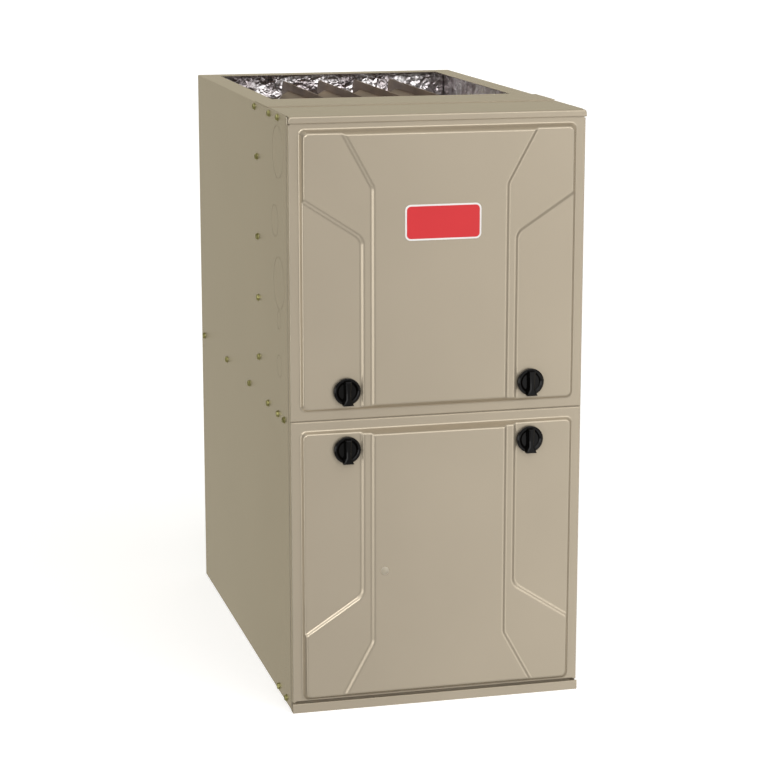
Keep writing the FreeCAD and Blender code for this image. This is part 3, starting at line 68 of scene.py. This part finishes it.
camera = bpy.data.objects.new("camera", bpy.data.cameras.new("camera"))
camera.data.sensor_width = sensor_width
camera.data.lens = sensor_width * focal_pixels / image_side
camera.location = camera_place
camera.rotation_euler = (math.pi / 2 - tilt, 0, -turn)
scene.collection.objects.link(camera)
scene.camera = camera
scene.view_settings.view_transform = "Standard"


# Studio: a round white floor swept up into a wall all round, which only the camera sees. The room is
# bright overhead, to the left and front right, and dim behind, with soft boxes at the front. Here and
# in each finish further down, the values that run between shader nodes take plain sums.
class Signal:
    def __init__(self, tree, socket):
        self.tree = tree
        self.socket = socket

    def sum(self, operation, first, second):
        return self.tree.node("ShaderNodeMath", {"operation": operation}, {0: first, 1: second})

    def __add__(self, other):
        return self.sum("ADD", self, other)

    def __radd__(self, other):
        return self.sum("ADD", other, self)

    def __sub__(self, other):
        return self.sum("SUBTRACT", self, other)

    def __rsub__(self, other):
        return self.sum("SUBTRACT", other, self)

    def __mul__(self, other):
        return self.sum("MULTIPLY", self, other)

    def __rmul__(self, other):
        return self.sum("MULTIPLY", other, self)

    def __truediv__(self, other):
        return self.sum("DIVIDE", self, other)

    def __rtruediv__(self, other):
        return self.sum("DIVIDE", other, self)

    def __gt__(self, other):
        return self.sum("GREATER_THAN", self, other)

    def __lt__(self, other):
        return self.sum("LESS_THAN", self, other)


class Tree:
    def __init__(self, tree):
        self.tree = tree

    def node(self, kind, settings=None, values=None, output=0):
        made = self.tree.nodes.new(kind)
        for key, value in (settings or {}).items():
            if key == "stops":
                for position, colour in value[2:]:
                    made.color_ramp.elements.new(position)
                for element, (position, colour) in zip(made.color_ramp.elements, value):
                    element.position = position
                    element.color = (*colour, 1)
            else:
                setattr(made, key, value)
        for key, value in (values or {}).items():
            if isinstance(value, Signal):
                self.tree.links.new(value.socket, made.inputs[key])
            else:
                made.inputs[key].default_value = value
        return Signal(self, made.outputs[output])


class Look(Tree):
    def __init__(self, name):
        self.material = bpy.data.materials.new(name)
        self.material.use_nodes = True
        super().__init__(self.material.node_tree)
        self.surface = self.tree.nodes["Principled BSDF"]
        self.place = self.node("ShaderNodeTexCoord", output="Object")

    def noise(self, scale, detail=2.0):
        values = {"Vector": self.place, "Scale": scale, "Detail": detail}
        return self.node("ShaderNodeTexNoise", None, values)

    def cells(self, scale, feature="F1", output="Distance"):
        values = {"Vector": self.place, "Scale": scale}
        return self.node("ShaderNodeTexVoronoi", {"feature": feature}, values, output)

    def ramp(self, factor, *stops):
        return self.node("ShaderNodeValToRGB", {"stops": stops}, {"Fac": factor})

    def bump(self, height, depth):
        return self.node("ShaderNodeBump", None, {"Height": height, "Strength": 1.0, "Distance": depth})

    def set(self, **values):
        for key, value in values.items():
            socket = self.surface.inputs[key.replace("_", " ")]
            if isinstance(value, Signal):
                self.tree.links.new(value.socket, socket)
            else:
                socket.default_value = value
        return self.material


floor_middle = 0.01
floor_radius = 10.0
sweep_radius = 4.0
sweep_steps = 16
wall_top = 16.0
around_steps = 96
sweep = [(floor_middle, 0)]
for step in range(sweep_steps + 1):
    angle = math.pi / 2 * step / sweep_steps
    sweep.append((floor_radius + sweep_radius * math.sin(angle), sweep_radius * (1 - math.cos(angle))))
sweep.append((floor_radius + sweep_radius, wall_top))
backdrop_points = []
for radius, height in sweep:
    for step in range(around_steps):
        angle = 2 * math.pi * step / around_steps
        backdrop_points.append((radius * math.cos(angle), radius * math.sin(angle), height))
backdrop_faces = []
for row in range(len(sweep) - 1):
    for step in range(around_steps):
        here = row * around_steps + step
        beside = row * around_steps + (step + 1) % around_steps
        backdrop_faces.append((here, beside, beside + around_steps, here + around_steps))
backdrop_mesh = bpy.data.meshes.new("backdrop")
backdrop_mesh.from_pydata(backdrop_points, [], backdrop_faces)
backdrop_mesh.shade_smooth()
backdrop = bpy.data.objects.new("backdrop", backdrop_mesh)
backdrop.visible_diffuse = False
backdrop.visible_glossy = False
backdrop.visible_shadow = False
scene.collection.objects.link(backdrop)
paper = Look("white paper")
paper_clouds = paper.noise(1.5)
backdrop_mesh.materials.append(paper.set(
    Base_Color=paper.ramp(paper_clouds, (0.0, (0.80, 0.80, 0.80)), (1.0, (0.82, 0.82, 0.82))),
    Roughness=0.9, Emission_Color=(1, 1, 1, 1), Emission_Strength=0.55))

scene.world = bpy.data.worlds.new("studio")
scene.world.use_nodes = True
room = Tree(scene.world.node_tree)
way = room.node("ShaderNodeTexCoord", output="Generated")
way_x, way_y, way_z = [room.node("ShaderNodeSeparateXYZ", None, {"Vector": way}, part) for part in "XYZ"]
bearing = room.node("ShaderNodeMath", {"operation": "ARCTAN2"}, {0: way_x, 1: way_y * -1})
rise = room.node("ShaderNodeMath", {"operation": "ARCTAN2"}, {0: way_z, 1: way_y * -1})


def glow(value, reach, stops):
    levels = [((place / reach + 1) / 2, (level, level, level)) for place, level in stops]
    return room.node("ShaderNodeValToRGB", {"stops": levels}, {"Fac": (value / reach + 1) / 2})


def circle(angle, *stops):
    return glow(angle, math.pi, [(math.radians(place), level) for place, level in stops])


def upright(*stops):
    return glow(way_z, 1, stops)


left_wall = circle(bearing, (-180, 0), (-84, 0), (-74, 1), (-46, 1), (-36, 0), (180, 0))
left_band = upright((-1, 0), (-0.9, 0.25), (-0.5, 0.25), (-0.38, 0.07), (-0.31, 0), (-0.22, 1), (0.12, 1),
                    (0.3, 0), (1, 0))
left_power = 2.0
around = circle(bearing, (-180, 0.27), (-155, 0.26), (-138, 0.05), (-95, 0.03), (-60, 0.12), (-8, 0.16),
                (6, 0.16), (12.5, 0.18), (19, 0.50), (28, 0.58), (50, 0.60), (64, 0.25), (78, 0.04),
                (120, 0.06), (150, 0.28), (180, 0.27))
around_band = upright((-1, 0), (-0.62, 0), (-0.42, 1), (0.3, 1), (0.6, 0.4), (1, 0.2))
around_power = 2.0
overhead = circle(rise, (-180, 0), (18, 0), (26, 1), (42, 1), (52, 0.30), (100, 0.30), (140, 0.04),
                  (180, 0))
overhead_width = 1 - way_x * way_x
overhead_power = 2.2
floor = upright((-1, 1), (-0.8, 1), (-0.5, 0), (1, 0))
floor_power = 0.6
room_glow = (left_wall * left_band * left_power + around * around_band * around_power
             + overhead * overhead_width * overhead_power + floor * floor_power)
behind_start = -0.2
behind_end = 0.6
behind = (way_y - behind_start) / (behind_end - behind_start)
white = (1, 1, 1)
straw = (1.0, 0.93, 0.72)
room_tint = room.node("ShaderNodeValToRGB", {"stops": ((0, white), (1, straw))}, {"Fac": behind})
room_light = scene.world.node_tree.nodes["Background"]
room.tree.links.new(room_tint.socket, room_light.inputs["Color"])
room.tree.links.new(room_glow.socket, room_light.inputs["Strength"])


def soft_box(name, place, width, height, power):
    lamp = bpy.data.lights.new(name, "AREA")
    lamp.shape = "RECTANGLE"
    lamp.size = width
    lamp.size_y = height
    lamp.energy = power
    box = bpy.data.objects.new(name, lamp)
    box.location = place
    box.rotation_euler = (cabinet_middle - Vector(place)).to_track_quat("-Z", "Y").to_euler()
    scene.collection.objects.link(box)
    return box


cabinet_middle = (cad_low + cad_high) / 2
key_place = (-2.0, -7.0, 3.4)
key_side = 1.8
key_power = 64
soft_box("key", key_place, key_side, key_side, key_power)
fill_place = (1.9, -3.0, 0.9)
fill_width = 0.9
fill_height = 1.3
fill_power = 27
fill = soft_box("fill", fill_place, fill_width, fill_height, fill_power)
fill.data.color = (1.0, 0.95, 0.93)
fill.visible_glossy = False


# Painted sheet: the casing wrap, the filler panel with its lip, the cross rail and the base rail, all
# folded from prepainted steel with a faint orange peel in a satin champagne coat. The front edges of
# the lip and the rail are rolled, on copies of their CAD pieces.
def shade(red, green, blue):
    return tuple((part / 255 / 12.92 if part < 10 else ((part / 255 + 0.055) / 1.055) ** 2.4)
                 for part in (red, green, blue))


def scaled(colour, share):
    return tuple(part * share for part in colour)


paint_colour = shade(186, 174, 153)
drift_scale = 5.0
peel_scale = 650.0
peel_depth = 0.00004
paint = Look("satin paint")
drift = paint.noise(drift_scale, 3.0)
peel = paint.noise(peel_scale, 1.0)
paint_material = paint.set(
    Base_Color=paint.ramp(drift, (0.0, scaled(paint_colour, 0.93)), (1.0, scaled(paint_colour, 1.05))),
    Metallic=0.55, Roughness=0.27, Specular_IOR_Level=0.5,
    Normal=paint.bump(peel, peel_depth))

weld = 0.00001
crease_degrees = 33
smoothing = bpy.data.node_groups.new("smoothing", "GeometryNodeTree")
smoothing.interface.new_socket("Geometry", in_out="INPUT", socket_type="NodeSocketGeometry")
join_input = smoothing.interface.new_socket("Join within", in_out="INPUT", socket_type="NodeSocketFloat")
crease_input = smoothing.interface.new_socket("Crease angle", in_out="INPUT", socket_type="NodeSocketFloat")
smoothing.interface.new_socket("Geometry", in_out="OUTPUT", socket_type="NodeSocketGeometry")
steps = Tree(smoothing)
given = steps.node("NodeGroupInput")
join_within = Signal(steps, given.socket.node.outputs["Join within"])
crease_angle = Signal(steps, given.socket.node.outputs["Crease angle"])
joined = steps.node("GeometryNodeMergeByDistance", None, {"Geometry": given, "Distance": join_within})
folded = steps.node("GeometryNodeInputMeshEdgeAngle", output="Unsigned Angle") > crease_angle
creased = steps.node("GeometryNodeSetMeshNormal", {"mode": "SHARPNESS"},
                     {"Mesh": joined, "Remove Custom": True, "Edge Sharpness": folded})
result = smoothing.nodes.new("NodeGroupOutput")
smoothing.links.new(creased.socket, result.inputs["Geometry"])


def dress(node, material, crease=crease_degrees):
    for slot in node.material_slots:
        slot.material = material
    finish = node.modifiers.new("smoothing", "NODES")
    finish.node_group = smoothing
    finish[join_input.identifier] = weld
    finish[crease_input.identifier] = math.radians(crease)


dress(nodes["casing"], paint_material)
dress(nodes["cross_rail"], paint_material)

fold_limit = math.cos(math.radians(crease_degrees))


def even_normals(mesh):
    touching = [[] for vertex in mesh.vertices]
    for face in mesh.polygons:
        for index in face.vertices:
            touching[index].append(face)
    normals = []
    for face in mesh.polygons:
        for index in face.vertices:
            near = [other for other in touching[index] if other.normal.dot(face.normal) > fold_limit]
            flat = [other for other in near if not other.use_smooth]
            weighted = [other.normal * other.area for other in flat or near]
            normals.append(sum(weighted, Vector()).normalized())
    mesh.shade_smooth()
    mesh.normals_split_custom_set(normals)


flat_degrees = 1
roll_steps = 4


def rolled_copy(node_name, body, rolls, cuts=(), fit=None):
    node = nodes[node_name]
    shape = bmesh.new()
    shape.from_mesh(node.data)
    shape.transform(node.matrix_world)
    bmesh.ops.remove_doubles(shape, verts=shape.verts, dist=weld)
    bmesh.ops.dissolve_limit(shape, angle_limit=math.radians(flat_degrees), verts=shape.verts,
                             edges=shape.edges)
    for axis, place in cuts:
        across = Vector((axis == "x", 0, axis == "z"))
        everything = [*shape.verts, *shape.edges, *shape.faces]
        bmesh.ops.bisect_plane(shape, geom=everything, plane_co=across * place, plane_no=across)
    if fit:
        for vertex in shape.verts:
            fit(vertex.co)
    shape.normal_update()
    for face in shape.faces:
        face.smooth = False
    for radius, chosen in rolls:
        edges = [edge for edge in shape.edges if chosen(edge)]
        rolled = bmesh.ops.bevel(shape, geom=edges, offset=radius, segments=roll_steps, profile=0.5,
                                 affect="EDGES")
        for face in rolled["faces"]:
            face.smooth = True
    bmesh.ops.triangulate(shape, faces=shape.faces)
    mesh = bpy.data.meshes.new(node_name + "_rolled")
    shape.to_mesh(mesh)
    shape.free()
    even_normals(mesh)
    mesh.materials.append(paint_material)
    piece = bpy.data.objects.new(node_name + "_rolled", mesh)
    scene.collection.objects.link(piece)
    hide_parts(node_name)
    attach(piece, body)


close = 0.0001
lip_low, lip_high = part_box("top_filler_panel")
lip_height = 0.0103
lip_corner = 0.005
brow_radius = 0.0026
hem_radius = 0.0015
rail_low, rail_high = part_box("base_rail")
rail_radius = 0.0008


def lip_brow(edge):
    return all(spot.co.y < lip_low.y + close and spot.co.z > lip_high.z - lip_corner
               for spot in edge.verts)


def lip_hem(edge):
    return edge.calc_length() > lip_corner and all(
        spot.co.y < lip_low.y + close and spot.co.z < lip_high.z - lip_height + close
        for spot in edge.verts)


def rail_edge(edge):
    return all(spot.co.y < rail_low.y + close and spot.co.z > rail_high.z / 2 for spot in edge.verts)


rolled_copy("top_filler_panel", "cabinet", ((hem_radius, lip_hem), (brow_radius, lip_brow)))
rolled_copy("base_rail", "cabinet", ((rail_radius, rail_edge),))


# Doors: one steel pressing each, with a flange all round, a side level, two strips and a raised field.
# The press rounds every edge of the field. The sides are drawn out over the casing's edges, the foot of
# the lower door steps back behind the rail, and the doors meet with a hair of a gap.
upper_low, upper_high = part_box("upper_door")
lower_low, lower_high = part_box("lower_door")
press_radius = 0.0020
press_angle = math.radians(22)
press_margin = 0.006
front_slope = -0.15
seam_close = 0.0005
side_reach = 0.0025
side_fold = 0.0025
foot_height = 0.0118
bend_height = 0.0100
foot_start = lower_low.z + foot_height
foot_bend = lower_low.z + bend_height
foot_side = 0.0045
foot_reach = upper_high.x - foot_side
foot_joggle = 0.0070
foot_cuts = (("z", foot_start), ("z", foot_bend), ("x", -foot_reach), ("x", foot_reach))


def in_pressing(place):
    return (abs(place.x) < upper_high.x - press_margin and foot_start < place.z - close
            and place.z < upper_high.z - press_margin
            and not lower_high.z - press_margin < place.z < upper_low.z + press_margin)


def pressed_edge(edge):
    return (len(edge.link_faces) == 2 and edge.calc_face_angle() > press_angle
            and all(face.normal.y < front_slope for face in edge.link_faces)
            and all(in_pressing(spot.co) for spot in edge.verts))


def fit_door(place):
    if abs(place.x) > upper_high.x - side_fold:
        place.x += math.copysign(side_reach, place.x)
    if abs(place.z - upper_low.z) < close:
        place.z -= seam_close
    if abs(place.z - lower_high.z) < close:
        place.z += seam_close
    at_foot = place.z < foot_bend + close and abs(place.x) < foot_reach + close
    if at_foot and place.y < lower_high.y - foot_joggle:
        place.y += foot_joggle


for name in ("upper_door", "lower_door"):
    rolled_copy(name, name, ((press_radius, pressed_edge),), foot_cuts, fit_door)


# Door knobs: glossy black mouldings with a dished cap and a flared grip, turning in nylon bushes.
# The sight glass is a clear moulded plug in the lower door.
knob_crease = 35
knob_dark = (0.0015, 0.0012, 0.0010)
knob_light = (0.003, 0.0025, 0.002)
gloss = Look("gloss black")
knob_material = gloss.set(
    Base_Color=gloss.ramp(gloss.noise(40.0), (0.0, knob_dark), (1.0, knob_light)),
    Roughness=0.07, Specular_IOR_Level=0.24)
for name in ("upper_left_knob", "upper_right_knob", "lower_left_knob", "lower_right_knob"):
    dress(nodes[name], knob_material, knob_crease)

cloud_scale = 12.0
grain_scale = 300.0
grain_depth = 0.00003


def moulded(name, colour, roughness, metallic=0.0, spread=0.2):
    look = Look(name)
    cloud = look.noise(cloud_scale, 3.0)
    grain = look.noise(grain_scale)
    return look.set(
        Base_Color=look.ramp(cloud, (0.0, scaled(colour, 1 - spread)), (1.0, scaled(colour, 1 + spread))),
        Metallic=metallic, Roughness=roughness,
        Normal=look.bump(grain, grain_depth))


nylon = moulded("nylon", (0.72, 0.70, 0.64), 0.5)
for name in ("upper_knob_bushes", "lower_knob_bushes"):
    dress(nodes[name], nylon)
clear = Look("clear plastic")
dress(nodes["sight_glass"], clear.set(
    Base_Color=clear.ramp(clear.noise(30.0), (0.0, shade(178, 168, 148)), (1.0, shade(190, 180, 160))),
    Roughness=0.30, Transmission_Weight=0.25, IOR=1.49))


# Door plate: a plain enamelled plate, red within a pale border, fixed to the raised field of the upper
# door. A pale backing plate makes the border, and the thinner red face lies on it.
plate_across = 0.003
plate_up = 0.7325
plate_width = 0.114
plate_height = 0.052
plate_corner = 0.008
plate_thickness = 0.0008
border_width = 0.0025
face_corner = 0.006
face_thickness = 0.0004
corner_steps = 6


def rounded_plate(name, inset, radius, back, thickness, material):
    half_width = plate_width / 2 - inset - radius
    half_height = plate_height / 2 - inset - radius
    corners = []
    for quarter, across, up in ((0, 1, 1), (1, -1, 1), (2, -1, -1), (3, 1, -1)):
        for step in range(corner_steps + 1):
            angle = math.pi / 2 * (quarter + step / corner_steps)
            corners.append((plate_across + across * half_width + radius * math.cos(angle),
                            plate_up + up * half_height + radius * math.sin(angle)))
    count = len(corners)
    points = [(x, y, z) for y in (back, back - thickness) for x, z in corners]
    sides = [(k, (k + 1) % count, count + (k + 1) % count, count + k) for k in range(count)]
    mesh = bpy.data.meshes.new(name)
    mesh.from_pydata(points, [], [tuple(reversed(range(count))), tuple(range(count, 2 * count)), *sides])
    mesh.materials.append(material)
    plate = bpy.data.objects.new(name, mesh)
    scene.collection.objects.link(plate)
    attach(plate, "upper_door")


plate_red = moulded("enamel red", (0.58, 0.025, 0.03), 0.28, spread=0.06)
plate_pale = moulded("enamel white", (0.75, 0.74, 0.72), 0.3)
field_face = upper_low.y
rounded_plate("plate_border", 0, plate_corner, field_face, plate_thickness, plate_pale)
rounded_plate("plate_face", border_width, face_corner, field_face - plate_thickness, face_thickness,
              plate_red)


# Casing screws: hex washer-head sheet-metal screws with a yellow zinc finish. One head is turned up
# and set, at its own chance angle, wherever the frame has a screw, facing out of the casing.
def islands(node):
    joined_up = bmesh.new()
    joined_up.from_mesh(node.data)
    bmesh.ops.remove_doubles(joined_up, verts=joined_up.verts, dist=weld)
    seen = set()
    for start in joined_up.verts:
        if start in seen:
            continue
        seen.add(start)
        group = [start]
        for vertex in group:
            for edge in vertex.link_edges:
                other = edge.other_vert(vertex)
                if other not in seen:
                    seen.add(other)
                    group.append(other)
        yield [node.matrix_world @ vertex.co for vertex in group]
    joined_up.free()


def turned(mesh, rings, sides):
    rows = []
    for radius, height in rings:
        angles = [2 * math.pi * side / sides for side in range(sides)]
        rows.append([mesh.verts.new((radius * math.cos(angle), radius * math.sin(angle), height))
                     for angle in angles])
    for lower, upper in zip(rows, rows[1:]):
        for side in range(sides):
            after = (side + 1) % sides
            mesh.faces.new((lower[side], lower[after], upper[after], upper[side]))
    mesh.faces.new(tuple(reversed(rows[0])))
    mesh.faces.new(tuple(rows[-1]))


washer_sides = 24
washer_rings = ((0.0055, 0.0), (0.0055, 0.0005), (0.0052, 0.0008), (0.0042, 0.0012))
hex_sides = 6
hex_rings = ((0.0046, 0.0009), (0.0046, 0.0029), (0.0041, 0.0034), (0.0026, 0.0034), (0.0020, 0.0029))
head_mesh = bpy.data.meshes.new("screw_head")
head_shape = bmesh.new()
turned(head_shape, washer_rings, washer_sides)
turned(head_shape, hex_rings, hex_sides)
head_shape.to_mesh(head_mesh)
head_shape.free()
head = bpy.data.objects.new("screw_head", head_mesh)

spots = []
outwards = []
for group in islands(nodes["casing_screws"]):
    side = 1 if group[0].x > 0 else -1
    spots.append((side * min(abs(point.x) for point in group),
                  sum(point.y for point in group) / len(group),
                  sum(point.z for point in group) / len(group)))
    outwards.append((side, 0, 0))
spot_mesh = bpy.data.meshes.new("screw_spots")
spot_mesh.from_pydata(spots, [], [])
outward_data = spot_mesh.attributes.new("outward", "FLOAT_VECTOR", "POINT").data
for item, outward in zip(outward_data, outwards):
    item.vector = outward
spot_object = bpy.data.objects.new("screw_spots", spot_mesh)
scene.collection.objects.link(spot_object)

zinc = Look("yellow zinc")
bloom = zinc.noise(180.0, 3.0)
zinc_material = zinc.set(
    Base_Color=zinc.ramp(bloom, (0.0, (0.24, 0.22, 0.07)), (1.0, (0.56, 0.54, 0.26))),
    Metallic=1.0, Roughness=bloom * 0.2 + 0.30)

twist_seed = 5
setting = bpy.data.node_groups.new("screw setting", "GeometryNodeTree")
setting.interface.new_socket("Geometry", in_out="INPUT", socket_type="NodeSocketGeometry")
head_input = setting.interface.new_socket("Head", in_out="INPUT", socket_type="NodeSocketObject")
twist_input = setting.interface.new_socket("Largest twist", in_out="INPUT", socket_type="NodeSocketFloat")
finish_input = setting.interface.new_socket("Finish", in_out="INPUT", socket_type="NodeSocketMaterial")
setting.interface.new_socket("Geometry", in_out="OUTPUT", socket_type="NodeSocketGeometry")
steps = Tree(setting)
given = steps.node("NodeGroupInput")
wanted = {socket.name: Signal(steps, socket) for socket in given.socket.node.outputs}
shape = steps.node("GeometryNodeObjectInfo", None, {"Object": wanted["Head"]}, "Geometry")
outward = steps.node("GeometryNodeInputNamedAttribute", {"data_type": "FLOAT_VECTOR"}, {"Name": "outward"})
facing = steps.node("FunctionNodeAlignRotationToVector", {"axis": "Z"}, {"Vector": outward})
chance = steps.node("FunctionNodeRandomValue", {"data_type": "FLOAT"}, {"Seed": twist_seed}, 1)
twist = chance * wanted["Largest twist"]
twisted = steps.node("FunctionNodeAxisAngleToRotation", None, {"Axis": (0, 0, 1), "Angle": twist})
pose = steps.node("FunctionNodeRotateRotation", {"rotation_space": "LOCAL"},
                  {"Rotation": facing, "Rotate By": twisted})
placed = steps.node("GeometryNodeInstanceOnPoints", None,
                    {"Points": wanted["Geometry"], "Instance": shape, "Rotation": pose})
real = steps.node("GeometryNodeRealizeInstances", None, {"Geometry": placed})
coated = steps.node("GeometryNodeSetMaterial", None, {"Geometry": real, "Material": wanted["Finish"]})
steps.tree.links.new(coated.socket, steps.tree.nodes.new("NodeGroupOutput").inputs["Geometry"])

grown = spot_object.modifiers.new("screws", "NODES")
grown.node_group = setting
grown[head_input.identifier] = head
grown[twist_input.identifier] = math.pi / 3
grown[finish_input.identifier] = zinc_material
evaluated = spot_object.evaluated_get(bpy.context.evaluated_depsgraph_get())
screw_mesh = bpy.data.meshes.new_from_object(evaluated)
bpy.data.objects.remove(spot_object)
screw_mesh.name = "hex_screws"
screws = bpy.data.objects.new("hex_screws", screw_mesh)
scene.collection.objects.link(screws)
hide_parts("casing_screws")
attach(screws, "cabinet")


# Foil blankets: glass-fibre mats faced with crinkled aluminium foil, glued to the walls of the
# heat-exchanger compartment. The foil is gathered in sharp folds over the mat.
fold_scale = 42.0
fine_fold_scale = 120.0
fine_fold_share = 0.4
crinkle_depth = 0.0055
# The colour runs at random from bright aluminium to a dull purple-brown, a painted reflection of the cells.
painted_reflection_foil = (0.50, 0.44, 0.45)
bright_foil = (0.95, 0.92, 0.92)
foil = Look("crinkled foil")
folds = foil.cells(fold_scale, "DISTANCE_TO_EDGE")
fine_folds = foil.cells(fine_fold_scale, "DISTANCE_TO_EDGE")
foil_material = foil.set(
    Base_Color=foil.ramp(foil.noise(22.0), (0.35, painted_reflection_foil), (0.62, bright_foil)),
    Metallic=1.0, Roughness=foil.noise(30.0) * 0.16 + 0.22,
    Normal=foil.bump(folds + fine_folds * fine_fold_share, crinkle_depth))
fold_height = 0.006
fold_pitch = 0.0045
broad_folds = 20
broad_share = 1.3
small_folds = 44
small_share = 0.7
small_shift = Vector((5, 0, 0))


def crumple(place):
    broad = abs(noise.noise(place * broad_folds))
    small = abs(noise.noise(place * small_folds + small_shift))
    return 1 - min(1, broad_share * broad + small_share * small)


def blanket(node_name, axis, inward):
    low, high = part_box(node_name)
    across, along = [other for other in range(3) if other != axis]
    columns = round((high[across] - low[across]) / fold_pitch)
    rows = round((high[along] - low[along]) / fold_pitch)
    wall, face = (low[axis], high[axis]) if inward > 0 else (high[axis], low[axis])
    corners = []
    for row in range(rows + 1):
        for column in range(columns + 1):
            corner = Vector((0, 0, 0))
            corner[across] = low[across] + (high[across] - low[across]) * column / columns
            corner[along] = low[along] + (high[along] - low[along]) * row / rows
            corner[axis] = face
            corner[axis] = face - inward * fold_height * (1 - crumple(corner))
            corners.append(corner)
    faces = []
    for row in range(rows):
        for column in range(columns):
            first = row * (columns + 1) + column
            faces.append((first, first + 1, first + columns + 2, first + columns + 1))
    rim = list(range(columns))
    rim += [row * (columns + 1) + columns for row in range(rows)]
    rim += [rows * (columns + 1) + columns - column for column in range(columns)]
    rim += [(rows - row) * (columns + 1) for row in range(rows)]
    start = len(corners)
    for index in rim:
        foot = corners[index].copy()
        foot[axis] = wall
        corners.append(foot)
    count = len(rim)
    for k in range(count):
        faces.append((rim[(k + 1) % count], rim[k], start + k, start + (k + 1) % count))
    faces.append(tuple(start + k for k in range(count)))
    mesh = bpy.data.meshes.new(node_name + "_foil")
    mesh.from_pydata(corners, [], faces)
    solid = bmesh.new()
    solid.from_mesh(mesh)
    bmesh.ops.recalc_face_normals(solid, faces=solid.faces)
    solid.to_mesh(mesh)
    solid.free()
    mesh.shade_smooth()
    mesh.materials.append(foil_material)
    mat = bpy.data.objects.new(node_name + "_foil", mesh)
    scene.collection.objects.link(mat)
    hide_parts(node_name)
    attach(mat, "cabinet")


blanket("blanket_left", 0, 1)
blanket("blanket_right", 0, -1)
blanket("blanket_back", 1, -1)


# Galvanised sheet: the panels, shelf and rail inside the cabinet, the burner box, the blower's scroll
# and motor mount, the control plate and the junction box, all folded from bare spangled steel.
galvanised = Look("galvanised")
spangle = galvanised.cells(130.0, output="Color")
spangle_value = galvanised.node("ShaderNodeSeparateColor", None, {"Color": spangle}, "Red")
galvanised_material = galvanised.set(
    Base_Color=galvanised.ramp(spangle_value, (0.0, (0.42, 0.43, 0.45)), (1.0, (0.58, 0.59, 0.60))),
    Metallic=0.9, Roughness=spangle_value * 0.2 + 0.3)
for name in ("bottom_closure_panel", "blower_shelf", "latch_rail", "cell_panel", "burner_box",
             "blower_housing", "motor_mount", "control_plate", "junction_box"):
    dress(nodes[name], galvanised_material)


# Heat exchanger: four clamshell cells and a transition box pressed from aluminised steel, browned by
# heat, a stainless secondary exchanger, and a moulded collector with its trap.
aluminised = Look("aluminised steel")
scale_marks = aluminised.noise(14.0, 6.0)
pressing_grain = aluminised.noise(220.0)
pressing_depth = 0.00005
aluminised_material = aluminised.set(
    Base_Color=aluminised.ramp(scale_marks, (0.0, shade(84, 70, 64)), (1.0, shade(190, 168, 150))),
    Metallic=0.6, Roughness=scale_marks * 0.25 + 0.35,
    Normal=aluminised.bump(pressing_grain, pressing_depth))
for name in ("primary_cell_1", "primary_cell_2", "primary_cell_3", "primary_cell_4", "transition_box"):
    dress(nodes[name], aluminised_material)
stainless = moulded("stainless", (0.50, 0.50, 0.50), 0.34, 1.0)
dress(nodes["secondary_exchanger"], stainless)
black_moulding = moulded("black moulding", (0.022, 0.022, 0.024), 0.5)
for name in ("collector_box", "condensate_trap"):
    dress(nodes[name], black_moulding)


# Inducer and burner train: the draught inducer's moulded housing, motor and wheel, inshot burners on a
# black pipe manifold, a die-cast gas valve with its switch, igniter, flame sensor and safety switches.
motor_black = moulded("motor black", (0.035, 0.035, 0.038), 0.4)
fan_plastic = moulded("fan plastic", (0.07, 0.07, 0.07), 0.5)
pipe_black = moulded("pipe black", (0.04, 0.04, 0.04), 0.45, 0.3)
die_cast = moulded("die cast", (0.48, 0.48, 0.49), 0.45, 0.9)
dial_white = moulded("dial white", (0.72, 0.72, 0.70), 0.45)
ceramic = moulded("ceramic", (0.78, 0.75, 0.70), 0.6)
brown = moulded("switch brown", (0.12, 0.05, 0.025), 0.4)
red = moulded("button red", (0.45, 0.012, 0.012), 0.3)
for name, material in (("inducer_housing", black_moulding), ("inducer_motor", motor_black),
                       ("inducer_wheel", fan_plastic),
                       ("burners", aluminised_material), ("gas_manifold", pipe_black),
                       ("gas_valve", die_cast), ("gas_valve_switch", dial_white), ("igniter", ceramic),
                       ("flame_sensor", ceramic), ("rollout_switches", brown),
                       ("rollout_button_left", red), ("rollout_button_right", red),
                       ("limit_switch", brown), ("pressure_switch", fan_plastic)):
    dress(nodes[name], material)


# Blower and controls: a zinc-coated forward-curved wheel on a black motor, the control board and
# transformer on their plate, and the door switch with its white plunger.
zinc_wheel = moulded("zinc wheel", (0.52, 0.53, 0.54), 0.35, 0.9)
board_green = moulded("board green", (0.02, 0.12, 0.05), 0.4)
core_steel = moulded("laminated core", (0.22, 0.22, 0.24), 0.45, 0.8)
switch_black = moulded("switch black", (0.02, 0.02, 0.02), 0.45)
plunger_white = moulded("plunger white", (0.76, 0.76, 0.74), 0.4)
for name, material in (("blower_wheel", zinc_wheel), ("blower_motor", motor_black),
                       ("control_board", board_green), ("transformer", core_steel),
                       ("door_switch", switch_black), ("door_switch_plunger", plunger_white)):
    dress(nodes[name], material)


# Size: the view layer is brought up to date at the end.
bpy.context.view_layer.update()
